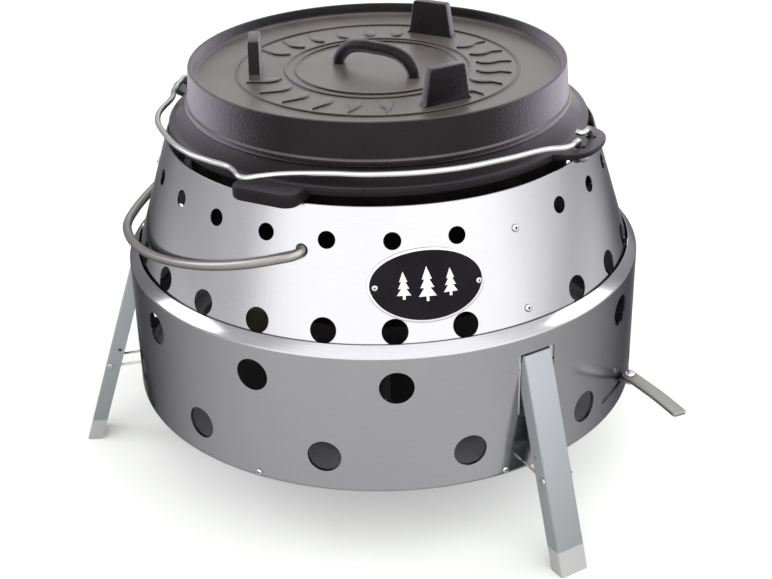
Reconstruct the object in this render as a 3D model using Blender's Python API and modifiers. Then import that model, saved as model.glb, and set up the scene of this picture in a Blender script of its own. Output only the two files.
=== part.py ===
"""Portable charcoal grill with a camp oven standing in its top

Lengths are in metres, Z points up and the feet stand on Z = 0.
Azimuth 0 is the front of the drum, along minus Y, and grows towards plus X.
A piece at some azimuth has its own X along the drum and its own minus Y outwards.
"""
import math

import bmesh
import bpy
from mathutils import Matrix, Vector

# Clearances
GAP = 0.0003
HOLE_GAP = 0.00035

# Where the drum's axis stands, so that the origin is under the middle of the whole
AXIS_X = 0.0156
AXIS_Y = -0.0047

# Drum
SHEET = 0.0012
DRUM_R = 0.2113
DRUM_BOTTOM = 0.068
DRUM_HEIGHT = 0.123
SHOULDER_R = 0.0075
SHOULDER_SWEEP = 90.0
CORNER_R = 0.003
FLANGE_WIDTH = 0.0083
STEPS = 72

# Columns of holes round the drum and the cone
COLUMN_START = 2.184
COLUMN_STEP = 15.0
LEG_COLUMNS = (2, 10, 18)
DRUM_HOLE = 0.026
DRUM_UPPER_ROW = 0.159
DRUM_LOWER_ROW = 0.0983

# Leg windows
WINDOW_SIDE = 0.0041
WINDOW_SHIFT = 0.0004
WINDOW_LOW = 0.107
WINDOW_HIGH = 0.170

# Slot for the air lever
SLOT_AZ = 61.5
SLOT_LENGTH = 0.0516
SLOT_Z = 0.0885
SLOT_HEIGHT = 0.005

# Base plate, its screws and the coal grate
BASE_RIM = 0.0087
SCREW_Z = 0.0732
SCREW_AZ = (-27.6, 92.4, -147.6, 25.1, 145.1, -94.9)
SCREW_R = 0.0012
GRATE_GAP = 0.0451
GRATE_Z = 0.094
GRATE_THICK = 0.002

# Cone
CONE_SLOPE = 0.308
CONE_HEIGHT = 0.0987
CONE_DROP = 0.004
CONE_INSET = 0.0093
CONE_UPPER_HOLE = 0.013
CONE_UPPER_ROW = 0.071
CONE_LOWER_HOLE = 0.0195
CONE_LOWER_ROW = 0.008
HEM_HIGH = 0.003

# Grid supports inside the cone
SUPPORT_WIDTH = 0.014
SUPPORT_THICK = 0.0015
SUPPORT_LEDGE = 0.006
SUPPORT_RIVETS = (0.067, 0.009)
RIVET_HEAD_R = 0.003
RIVET_R = 0.00135

# Badge
BADGE_AZ = 9.2
BADGE_Z = 0.040
BADGE_WIDTH = 0.0795
BADGE_HEIGHT = 0.048
BADGE_THICK = 0.001
BADGE_RIVETS = ((-0.0368, 0.039), (0.0392, 0.0376))

# Carry handle
HANDLE_AZ = -88.0
HANDLE_WIRE = 0.0075
HANDLE_IN = 0.1186
HANDLE_Z = 0.0626
HANDLE_TILT = 19.1
HANDLE_DRAWN = 0.1711
HANDLE_PATH = (
    (0.157, 0.0), (0.1671, 0.0), (0.1725, 0.0006), (0.1757, 0.003), (0.1765, 0.0068),
    (0.1757, 0.011), (0.173, 0.018), (0.1684, 0.03), (0.1628, 0.0423), (0.1472, 0.0672),
    (0.1267, 0.0914), (0.1022, 0.1133), (0.0752, 0.1317), (0.0472, 0.1455),
    (0.0206, 0.1541), (0.0, 0.157),
)

# Legs
LEG_WIDTH = 0.025
LEG_DEPTH = 0.0125
LEG_TOP = 0.1685
LEG_TOP_OUT = 0.0011
LEG_FOOT_OUT = 0.0547
PIVOT_IN = 0.0038
PIVOT_Z = 0.1567
EAR_R = 0.0037
LEG_PIN_R = 0.00125

# Leg brackets
BRACKET_HALF = 0.024
BRACKET_LOW = 0.118
BRACKET_HIGH = 0.176
BRACKET_SHEET = 0.001
BRACKET_EAR_IN = 0.0068

# Stays and the pins they hook against
STAY_WIRE = 0.002
STAY_INSIDE = 0.0027
STAY_Z = 0.0755
STAY_LENGTH = 0.0252
STAY_DROP = 0.003
STAY_HOLE = 0.005
STAY_PIN_R = 0.0015
STAY_PIN_HEAD_R = 0.00275
STAY_PIN_OFF = 0.0031

# Air ring and its lever
RING_LOW = 0.082
RING_HIGH = 0.114
RING_SHEET = 0.001
TAB_ALONG = 0.019334
TAB_Z = 0.0877
TAB_THICK = 0.0015
TAB_WIDTH = 0.010
BOLT_OUT = 0.0066
BOLT_R = 0.0015
LEVER_THICK = 0.003
LEVER_WIDTH = 0.0118
LEVER_PATH = ((0.0, 0.0), (-0.0116, 0.0149), (-0.0246, 0.0308), (-0.0439, 0.0518))

# Camp oven
POT_X = -0.0014
POT_GAP = 0.00433
POT_RISE = 0.0107
POT_FLANGE_THICK = 0.006
POT_TOP_IN = 0.0135
POT_LOW_IN = 0.0205
POT_DEEP = 0.1264
POT_WALL = 0.006
POT_RIM_IN = 0.0165
POT_RIM_RISE = 0.0111
POT_STEPS = 54
EAR_AZ = (62.0, -118.0)
EAR_BEYOND = 0.0215
EAR_HALF = 0.035
EAR_THICK = 0.004
EAR_HOLE = 0.008
EAR_HOLE_OFF = 0.0115
RING_CLEAR = 0.00077
TAB_AZS = (-28.0, 152.0)
POT_TAB_BEYOND = 0.0202
POT_TAB_HALF = 0.0296
POT_TAB_THICK = 0.010

# Bail
BAIL_WIRE = 0.0045
BAIL_Z = 0.0009
BAIL_ARC = (
    (-95.3, 0.0018, 0.0066), (-81.6, 0.0091, 0.0066), (-68.2, 0.0093, 0.0066),
    (-53.4, 0.0097, 0.0066), (-45.5, 0.0069, 0.0066), (-39.8, 0.0043, 0.0058),
    (-36.2, 0.0075, 0.0048), (-32.3, 0.0160, 0.0030), (-28.6, 0.0075, 0.0058),
    (-25.4, 0.0000, 0.0071), (-13.1, -0.0055, 0.0096), (-2.5, -0.0035, 0.0106),
    (15.9, -0.0005, 0.0116), (32.4, -0.0013, 0.0106), (45.4, 0.0015, 0.0086),
)

# Lid
LID_SKIRT_BEYOND = 0.0023
LID_RIM_IN = 0.0016
LID_HEIGHT = 0.0326
LID_PLATE_TOP = 0.0232
LID_PLATE = 0.005
LID_RIM_WALL = 0.0042
LID_LEG_AZ = (31.4, 151.4, -88.6)
LID_LEG_IN = 0.0499
LID_LEG_HEIGHT = 0.028
LID_LEG_BASE = 0.038
LID_LEG_TIP = 0.031
LID_LEG_THICK = 0.009
LOOP_AZ = 57.0
LOOP_HALF = 0.035
LOOP_R = 0.0052
LOOP_HEIGHT = 0.023
LOOP_MIDDLE = (-0.0027, -0.0062)

# Sizes that follow from those above
LIP_Z = DRUM_BOTTOM + DRUM_HEIGHT
WALL_TOP = LIP_Z - 0.0075
DRUM_IN = DRUM_R - SHEET
PIVOT_R = DRUM_R - PIVOT_IN
LEG_TOP_R = DRUM_R + LEG_TOP_OUT
LEG_FOOT_R = DRUM_R + LEG_FOOT_OUT
LEG_SLOPE = (LEG_FOOT_R - LEG_TOP_R) / LEG_TOP
LEG_ANGLE = math.atan(LEG_SLOPE)
STAY_R = DRUM_R - SHEET / 2
BAR_R = STAY_R + STAY_LENGTH
BAR_Z = STAY_Z - STAY_DROP
PIN_R = BAR_R + STAY_PIN_OFF * math.cos(LEG_ANGLE)
PIN_Z = BAR_Z + STAY_PIN_OFF * math.sin(LEG_ANGLE)
CONE_TOP = LIP_Z - CONE_DROP + CONE_HEIGHT
CONE_WALL = SHEET * math.hypot(1.0, CONE_SLOPE)
CONE_ANGLE = math.atan(CONE_SLOPE)
HEM_R = DRUM_R - SHOULDER_R - GAP
WINDOW_WIDTH = LEG_WIDTH + 2 * WINDOW_SIDE
STAY_HALF = LEG_WIDTH / 2 - STAY_INSIDE
TAB_AZ = SLOT_AZ + math.degrees(math.asin(TAB_ALONG / DRUM_R))
GRATE_R = DRUM_IN - GRATE_GAP
CONE_TOP_R = DRUM_R - CONE_INSET + (LIP_Z - CONE_TOP) * CONE_SLOPE
HANDLE_WALL_R = DRUM_R - CONE_INSET - HANDLE_Z * CONE_SLOPE
HANDLE_CHORD = HANDLE_WALL_R - HANDLE_IN
HANDLE_REACH = math.sqrt(HANDLE_WALL_R ** 2 - HANDLE_CHORD ** 2)
POT_FLANGE_R = CONE_TOP_R - POT_GAP
POT_FLANGE_Z = CONE_HEIGHT - CONE_DROP + POT_RISE
POT_TOP_R = POT_FLANGE_R - POT_TOP_IN
POT_LOW_R = POT_FLANGE_R - POT_LOW_IN
POT_BOTTOM = POT_FLANGE_Z - POT_DEEP
POT_RIM_R = POT_FLANGE_R - POT_RIM_IN
POT_RIM_Z = POT_FLANGE_Z + POT_RIM_RISE
EAR_OUT = POT_FLANGE_R + EAR_BEYOND
BAIL_HEIGHT = LIP_Z + POT_FLANGE_Z - EAR_THICK / 2 - GAP
RING_LOWEST = BAIL_HEIGHT - EAR_HOLE_OFF - BAIL_WIRE / 2
RING_FACE_R = DRUM_R - CONE_INSET + (LIP_Z - RING_LOWEST) * CONE_SLOPE + RING_CLEAR
EAR_HOLE_R = RING_FACE_R + BAIL_WIRE / 2
POT_TAB_OUT = POT_FLANGE_R + POT_TAB_BEYOND
LID_Z = POT_RIM_Z + GAP
LID_SKIRT_R = POT_RIM_R + LID_SKIRT_BEYOND
LID_RIM_R = POT_RIM_R - LID_RIM_IN
LID_LEG_R = LID_RIM_R - LID_LEG_IN
BOLT_RADIUS = DRUM_R + BOLT_OUT


def polar(az, r, z):
    """Point at an azimuth in degrees, a radius and a height"""
    a = math.radians(az)
    return Vector((r * math.sin(a), -r * math.cos(a), z))


def arc(cx, cz, r, start, end, count):
    """Points along an arc in a profile, angles in degrees"""
    points = []
    for i in range(count):
        a = math.radians(start + (end - start) * i / (count - 1))
        points.append((cx + r * math.cos(a), cz + r * math.sin(a)))
    return points


def cone_r(z):
    """Outer radius of the cone at a height"""
    return DRUM_R - CONE_INSET + (LIP_Z - z) * CONE_SLOPE


def badge_rivets():
    """Azimuth and rise of each badge rivet"""
    return [(BADGE_AZ + math.degrees(side / cone_r(LIP_Z + rise)), rise)
            for side, rise in BADGE_RIVETS]


def leg_out(z):
    """Radius of the leg's outer face at a height"""
    return LEG_FOOT_R - LEG_SLOPE * z


def column_az(k):
    """Azimuth of a column of holes, between -180 and 180"""
    a = COLUMN_START + COLUMN_STEP * k
    return a - 360.0 if a > 180.0 else a


def paint(obj, name, color, roughness, metallic):
    """Give an object its own material"""
    mat = bpy.data.materials.new(name)
    mat.use_nodes = True
    shader = mat.node_tree.nodes["Principled BSDF"]
    shader.inputs["Base Color"].default_value = (*color, 1.0)
    shader.inputs["Roughness"].default_value = roughness
    shader.inputs["Metallic"].default_value = metallic
    obj.data.materials.clear()
    obj.data.materials.append(mat)


def steel(obj):
    """Polished stainless sheet"""
    paint(obj, obj.name + "_steel", (0.62, 0.62, 0.63), 0.25, 1.0)
    finish(obj)


def wire_steel(obj):
    """Bright wire, pins and screws"""
    paint(obj, obj.name + "_bright", (0.72, 0.72, 0.72), 0.18, 1.0)
    finish(obj)


def iron(obj):
    """Seasoned cast iron"""
    paint(obj, obj.name + "_iron", (0.045, 0.04, 0.045), 0.55, 0.6)
    finish(obj)


def finish(obj):
    """Smooth shading with sharp edges kept"""
    obj.data.shade_smooth()
    obj.data.set_sharp_from_angle(angle=math.radians(30))


def add_object(name, mesh, collection, parent):
    """Link a mesh object under its parent"""
    obj = bpy.data.objects.new(name, mesh)
    collection.objects.link(obj)
    obj.parent = parent
    if collection is CUTTERS:
        obj.hide_render = True
        obj.display_type = "WIRE"
    return obj


def turned(name, profile, collection, parent, steps=STEPS):
    """Closed profile swept round Z, given down its outer side and back up inside"""
    mesh = bpy.data.meshes.new(name)
    verts = [(r, 0.0, z) for r, z in profile]
    count = len(verts)
    if profile[0][0] == 0.0 and profile[-1][0] == 0.0:
        edges = [(i, i + 1) for i in range(count - 1)]
    else:
        edges = [(i, (i + 1) % count) for i in range(count)]
    mesh.from_pydata(verts, edges, [])
    obj = add_object(name, mesh, collection, parent)
    screw = obj.modifiers.new("turn", "SCREW")
    screw.axis = "Z"
    screw.angle = math.tau
    screw.steps = steps
    screw.render_steps = steps
    screw.use_merge_vertices = True
    screw.merge_threshold = 0.00001
    return obj


def box(name, low, high, collection, parent):
    """Box between two corners"""
    bm = bmesh.new()
    bmesh.ops.create_cube(bm, size=1.0)
    low = Vector(low)
    high = Vector(high)
    size = high - low
    bmesh.ops.scale(bm, vec=size, verts=bm.verts)
    bmesh.ops.translate(bm, vec=(low + high) / 2, verts=bm.verts)
    return from_bmesh(name, bm, collection, parent)


def from_bmesh(name, bm, collection, parent):
    """Turn a bmesh into a linked object"""
    mesh = bpy.data.meshes.new(name)
    bm.to_mesh(mesh)
    bm.free()
    return add_object(name, mesh, collection, parent)


def rods(name, list_of_rods, collection, parent, sides=24):
    """Separate straight rods, each from one point to another with a radius"""
    bm = bmesh.new()
    for start, end, radius in list_of_rods:
        start = Vector(start)
        end = Vector(end)
        turn = (end - start).to_track_quat("Z", "Y").to_matrix().to_4x4()
        place = Matrix.Translation((start + end) / 2) @ turn
        bmesh.ops.create_cone(bm, cap_ends=True, segments=sides, radius1=radius,
                              radius2=radius, depth=(end - start).length, matrix=place)
    return from_bmesh(name, bm, collection, parent)


def meshed(curve, name, collection, parent, place=None):
    """Make a curve a welded mesh and remove the curve"""
    bpy.context.scene.collection.objects.link(curve)
    bpy.context.view_layer.update()
    graph = bpy.context.evaluated_depsgraph_get()
    mesh = bpy.data.meshes.new_from_object(curve.evaluated_get(graph))
    bpy.data.objects.remove(curve, do_unlink=True)
    mesh.name = name
    bm = bmesh.new()
    bm.from_mesh(mesh)
    bmesh.ops.remove_doubles(bm, verts=bm.verts, dist=0.000002)
    if place is not None:
        bmesh.ops.transform(bm, matrix=place, verts=bm.verts)
    bmesh.ops.recalc_face_normals(bm, faces=bm.faces)
    bm.to_mesh(mesh)
    bm.free()
    return add_object(name, mesh, collection, parent)


def flat(name, outline, thickness, collection, parent, place=None):
    """Flat outline in XY with a thickness, centred on Z = 0"""
    data = bpy.data.curves.new(name, "CURVE")
    data.dimensions = "2D"
    data.fill_mode = "BOTH"
    data.extrude = thickness / 2
    spline = data.splines.new("POLY")
    spline.points.add(len(outline) - 1)
    for point, (x, y) in zip(spline.points, outline):
        point.co = (x, y, 0.0, 1.0)
    spline.use_cyclic_u = True
    return meshed(bpy.data.objects.new(name, data), name, collection, parent, place)


def wire(name, path, radius, collection, parent, sides=2, smooth=3):
    """Round wire through the given points"""
    data = bpy.data.curves.new(name, "CURVE")
    data.dimensions = "3D"
    data.bevel_depth = radius
    data.bevel_resolution = sides
    data.use_fill_caps = True
    data.resolution_u = smooth
    data.render_resolution_u = 0
    spline = data.splines.new("BEZIER")
    spline.bezier_points.add(len(path) - 1)
    for point, co in zip(spline.bezier_points, path):
        point.co = co
        point.handle_left_type = "AUTO"
        point.handle_right_type = "AUTO"
    return meshed(bpy.data.objects.new(name, data), name, collection, parent)


def boolean(obj, other, operation):
    """Exact Boolean with another object"""
    mod = obj.modifiers.new(operation.lower(), "BOOLEAN")
    mod.operation = operation
    mod.solver = "EXACT"
    mod.object = other
    return obj


def seat(obj, az, r, z, tilt=None):
    """Place a piece at an azimuth, and with a tilt point its own Z outwards and up"""
    obj.location = polar(az, r, z)
    obj.rotation_euler = (0.0, 0.0, math.radians(az))
    if tilt is not None:
        obj.rotation_euler[0] = math.pi / 2 - math.radians(tilt)
    return obj


def seat_on_cone(obj, az, z, off):
    """Place a piece on the cone's outer face, a distance off along its normal"""
    out = off * math.cos(CONE_ANGLE)
    up = off * math.sin(CONE_ANGLE)
    return seat(obj, az, cone_r(z) + out, z + up, math.degrees(CONE_ANGLE))


def side_place():
    """Turns an outline of outward and up coordinates into a piece's own frame"""
    return Matrix(((0, 0, 1, 0), (-1, 0, 0, 0), (0, 1, 0, 0), (0, 0, 0, 1)))


def rounded(width, height, radius, cx=0.0, cy=0.0, count=5):
    """Rectangle outline with rounded corners"""
    points = []
    for sx, sy, start in ((1, 1, 0), (-1, 1, 90), (-1, -1, 180), (1, -1, 270)):
        mx = cx + sx * (width / 2 - radius)
        my = cy + sy * (height / 2 - radius)
        points += arc(mx, my, radius, start, start + 90, count)
    return points


def ellipse(width, height, count=40):
    """Outline of an ellipse"""
    points = []
    for i in range(count):
        a = math.tau * i / count
        points.append((width / 2 * math.cos(a), height / 2 * math.sin(a)))
    return points


def radial_holes(name, holes, parent, sides=18):
    """Cutters square to a wall: azimuth, radius, height, diameter, upward lean"""
    rod_list = []
    for az, r, z, diameter, lean in holes:
        a = math.radians(lean)
        out = polar(az, math.cos(a), math.sin(a)) * 0.008
        middle = polar(az, r, z)
        rod_list.append((middle - out, middle + out, diameter / 2))
    return rods(name, rod_list, CUTTERS, parent, sides)


def pin_profile(head_r, head, shank_r, length, far_r=0.0, far=0.0):
    """Headed pin along its own Z, its head's underside at Z = 0"""
    points = [(0.0, head), (head_r * 0.72, head), (head_r, head * 0.45), (head_r, 0.0)]
    points += [(shank_r, 0.0), (shank_r, -length)]
    if far_r:
        points += [(far_r, -length), (far_r, -length - far), (0.0, -length - far)]
    else:
        points += [(0.0, -length)]
    return points


def build_drum(root):
    """Drum wall with shoulder, flange, holes, windows and slot"""
    mid = DRUM_R - SHOULDER_R
    low = DRUM_R - CORNER_R
    low_z = DRUM_BOTTOM + CORNER_R
    flange = DRUM_R - FLANGE_WIDTH
    profile = arc(mid, WALL_TOP, SHOULDER_R, SHOULDER_SWEEP, 0, 4)
    profile += arc(low, low_z, CORNER_R, 0, -90, 3)
    profile += [(flange, DRUM_BOTTOM), (flange, DRUM_BOTTOM + SHEET)]
    profile += arc(low, low_z, CORNER_R - SHEET, -90, 0, 3)
    profile += arc(mid, WALL_TOP, SHOULDER_R - SHEET, 0, SHOULDER_SWEEP, 4)
    drum = turned("lower_shell", profile, PARTS, root)
    upper = [k for k in range(0, 24, 2) if k not in LEG_COLUMNS]
    lower = range(1, 24, 2)
    big = [(column_az(k), DRUM_R, DRUM_UPPER_ROW, DRUM_HOLE, 0.0) for k in upper]
    big += [(column_az(k), DRUM_R, DRUM_LOWER_ROW, DRUM_HOLE, 0.0) for k in lower]
    boolean(drum, radial_holes("drum_holes", big, root), "DIFFERENCE")
    for k in LEG_COLUMNS:
        outline = rounded(WINDOW_WIDTH, WINDOW_HIGH - WINDOW_LOW, 0.002, WINDOW_SHIFT,
                          (WINDOW_HIGH + WINDOW_LOW) / 2)
        place = Matrix(((1, 0, 0, 0), (0, 0, -1, 0), (0, 1, 0, 0), (0, 0, 0, 1)))
        window = flat("window_%d" % k, outline, 0.02, CUTTERS, root, place)
        seat(window, column_az(k), DRUM_R, 0.0)
        boolean(drum, window, "DIFFERENCE")
    half = SLOT_LENGTH / 2
    slot = box("lever_slot", (-half, -0.012, -SLOT_HEIGHT / 2),
               (half, 0.012, SLOT_HEIGHT / 2), CUTTERS, root)
    seat(slot, SLOT_AZ, DRUM_R, SLOT_Z)
    boolean(drum, slot, "DIFFERENCE")
    small = []
    for k in LEG_COLUMNS:
        for side in (-1, 1):
            az = column_az(k) + side * math.degrees(math.asin(STAY_HALF / DRUM_R))
            small.append((az, DRUM_R, STAY_Z, STAY_HOLE, 0.0))
    for az in SCREW_AZ:
        small.append((az, DRUM_R, SCREW_Z, 2 * (SCREW_R + HOLE_GAP), 0.0))
    boolean(drum, radial_holes("drum_small_holes", small, root, 12), "DIFFERENCE")
    steel(drum)
    return drum


def build_base(root):
    """Base plate with its upturned rim, screws and coal grate"""
    out = DRUM_IN - GAP
    low = DRUM_BOTTOM + SHEET + GAP
    bend = 0.0028
    profile = [(out, low + BASE_RIM)]
    profile += arc(out - bend, low + bend, bend, 0, -90, 3)
    profile += [(0.0, low), (0.0, low + SHEET)]
    profile += arc(out - bend, low + bend, bend - SHEET, -90, 0, 3)
    profile += [(out - SHEET, low + BASE_RIM)]
    mesh_profile = profile
    base = turned("base_plate", mesh_profile, PARTS, root)
    for k in LEG_COLUMNS:
        notch = box("base_notch_%d" % k, (-STAY_HALF - 0.004, -0.006, STAY_Z - 0.0038),
                    (STAY_HALF + 0.004, 0.006, STAY_Z + 0.01), CUTTERS, root)
        seat(notch, column_az(k), DRUM_IN, 0.0)
        boolean(base, notch, "DIFFERENCE")
    holes = [(az, DRUM_IN, SCREW_Z, 2 * (SCREW_R + HOLE_GAP), 0.0) for az in SCREW_AZ]
    boolean(base, radial_holes("base_screw_holes", holes, root, 10), "DIFFERENCE")
    steel(base)
    for i, az in enumerate(SCREW_AZ):
        screw = turned("base_screw_%d" % (i + 1), pin_profile(0.0026, 0.0014, SCREW_R, 0.0045),
                       PARTS, root, 9)
        seat(screw, az, DRUM_R + GAP, SCREW_Z, 0.0)
        wire_steel(screw)
    grate_profile = [(0.0, GRATE_Z + GRATE_THICK), (GRATE_R, GRATE_Z + GRATE_THICK),
                     (GRATE_R, GRATE_Z), (0.0, GRATE_Z)]
    grate = turned("coal_grate", grate_profile, PARTS, root, 48)
    slots = []
    for i in range(10):
        a = 36.0 * i
        slots.append(flat("grate_slot_%d" % i, rounded(0.008, 0.08, 0.0038, 0.0, 0.0, 3), 0.01,
                          CUTTERS, root))
        slots[-1].location = polar(a, GRATE_R - 0.065, GRATE_Z)
        slots[-1].rotation_euler[2] = math.radians(a)
        boolean(grate, slots[-1], "DIFFERENCE")
    feet = []
    for i in range(3):
        p = polar(120.0 * i + 15.0, GRATE_R - 0.015, 0.0)
        feet.append(((p.x, p.y, low + SHEET + GAP), (p.x, p.y, GRATE_Z + 0.001), 0.004))
    boolean(grate, rods("grate_feet", feet, CUTTERS, root, 10), "UNION")
    steel(grate)


def build_cone(root):
    """Sliding cone with its holes, its bottom hem guided by the drum's lip"""
    bottom = LIP_Z - CONE_DROP
    hem = bottom + HEM_HIGH
    flare = hem + 0.001
    profile = [(cone_r(CONE_TOP), CONE_TOP), (cone_r(flare), flare), (HEM_R, hem),
               (HEM_R, bottom), (HEM_R - SHEET, bottom), (HEM_R - SHEET, hem - 0.0005),
               (cone_r(flare) - CONE_WALL, flare + 0.0002),
               (cone_r(CONE_TOP) - CONE_WALL, CONE_TOP)]
    cone = turned("upper_cone", profile, PARTS, root)
    lean = math.degrees(CONE_ANGLE)
    holes = []
    small = []
    for k in range(24):
        az = column_az(k)
        if k in LEG_COLUMNS:
            for rise in SUPPORT_RIVETS:
                z = LIP_Z + rise
                small.append((az, cone_r(z), z, 2 * (RIVET_R + HOLE_GAP), lean))
        else:
            z = LIP_Z + CONE_UPPER_ROW
            holes.append((az, cone_r(z), z, CONE_UPPER_HOLE, lean))
            z = LIP_Z + CONE_LOWER_ROW
            holes.append((az, cone_r(z), z, CONE_LOWER_HOLE, lean))
    boolean(cone, radial_holes("cone_holes", holes, root, 12), "DIFFERENCE")
    for az, rise in badge_rivets():
        z = LIP_Z + rise
        small.append((az, cone_r(z), z, 0.0027, lean))
    boolean(cone, radial_holes("cone_small_holes", small, root, 12), "DIFFERENCE")
    middle = polar(HANDLE_AZ, HANDLE_CHORD, LIP_Z + HANDLE_Z)
    along = Vector((math.cos(math.radians(HANDLE_AZ)), math.sin(math.radians(HANDLE_AZ)), 0))
    bores = []
    for side in (-1, 1):
        bores.append((middle + along * side * (HANDLE_REACH - 0.012),
                      middle + along * side * (HANDLE_REACH + 0.012), HANDLE_WIRE / 2 + 0.0006))
    boolean(cone, rods("handle_holes", bores, CUTTERS, root, 14), "DIFFERENCE")
    steel(cone)
    return cone


def build_supports(root):
    """Strips with a ledge behind the rivet columns, and their rivets"""
    top = LIP_Z + 0.084
    low = LIP_Z + 0.004

    def inside(z):
        return cone_r(z) - CONE_WALL - GAP

    t = SUPPORT_THICK
    profile = [(inside(top + t), top + t), (inside(low), low), (inside(low) - t, low),
               (inside(top) - t, top), (inside(top) - t - SUPPORT_LEDGE, top),
               (inside(top) - t - SUPPORT_LEDGE, top + t)]
    number = 0
    for i, k in enumerate(LEG_COLUMNS):
        az = column_az(k)
        strip = turned("grid_support_%d" % (i + 1), profile, PARTS, root)
        strip.rotation_euler[2] = math.radians(az)
        keep = box("support_keep_%d" % i, (-SUPPORT_WIDTH / 2, -DRUM_R - 0.04, low - 0.01),
                   (SUPPORT_WIDTH / 2, -CONE_TOP_R + 0.05, top + 0.01), CUTTERS, root)
        keep.rotation_euler[2] = math.radians(az)
        boolean(strip, keep, "INTERSECT")
        lean = math.degrees(CONE_ANGLE)
        holes = [(az, cone_r(LIP_Z + rise), LIP_Z + rise, 2 * (RIVET_R + HOLE_GAP), lean)
                 for rise in SUPPORT_RIVETS]
        boolean(strip, radial_holes("support_holes_%d" % i, holes, root, 12), "DIFFERENCE")
        steel(strip)
        for rise in SUPPORT_RIVETS:
            number += 1
            z = LIP_Z + rise
            rivet = turned("support_rivet_%d" % number,
                           pin_profile(RIVET_HEAD_R, 0.0012, RIVET_R, 0.0042), PARTS, root, 9)
            seat_on_cone(rivet, az, z, GAP)
            wire_steel(rivet)


def build_badge(root):
    """Bare oval plate on the cone and its two rivets"""
    gap = GAP * 1.2
    low = LIP_Z + BADGE_Z - 0.03
    high = LIP_Z + BADGE_Z + 0.03
    thick = BADGE_THICK * math.hypot(1.0, CONE_SLOPE)
    profile = [(cone_r(high) + gap + thick, high), (cone_r(low) + gap + thick, low),
               (cone_r(low) + gap, low), (cone_r(high) + gap, high)]
    badge = turned("badge_plate", profile, PARTS, root)
    z = LIP_Z + BADGE_Z
    keep = flat("badge_outline", ellipse(BADGE_WIDTH, BADGE_HEIGHT), 0.05, CUTTERS, root)
    seat(keep, BADGE_AZ, cone_r(z), z, math.degrees(CONE_ANGLE))
    boolean(badge, keep, "INTERSECT")
    lean = math.degrees(CONE_ANGLE)
    holes = []
    for az, rise in badge_rivets():
        z = LIP_Z + rise
        holes.append((az, cone_r(z), z, 0.0027, lean))
    boolean(badge, radial_holes("badge_holes", holes, root, 12), "DIFFERENCE")
    paint(badge, "badge_dark", (0.03, 0.03, 0.035), 0.35, 0.5)
    finish(badge)
    for i, (az, rise) in enumerate(badge_rivets()):
        z = LIP_Z + rise
        rivet = turned("badge_rivet_%d" % (i + 1), pin_profile(0.0022, 0.0009, 0.001, 0.0032),
                       PARTS, root, 9)
        seat_on_cone(rivet, az, z, gap + BADGE_THICK + GAP)
        wire_steel(rivet)


def build_carry_handle(root):
    """Wire handle hooked into two holes of the cone, its origin on the line between them"""
    tilt = math.radians(HANDLE_TILT)
    stretch = HANDLE_REACH / HANDLE_DRAWN
    half = [(s * stretch, -d * math.cos(tilt), -d * math.sin(tilt)) for s, d in HANDLE_PATH]
    other = [(-x, y, z) for x, y, z in reversed(half[:-1])]
    handle = wire("carry_handle", half + other, HANDLE_WIRE / 2, PARTS, root, 2, 2)
    seat(handle, HANDLE_AZ, HANDLE_CHORD, LIP_Z + HANDLE_Z)
    wire_steel(handle)


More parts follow.
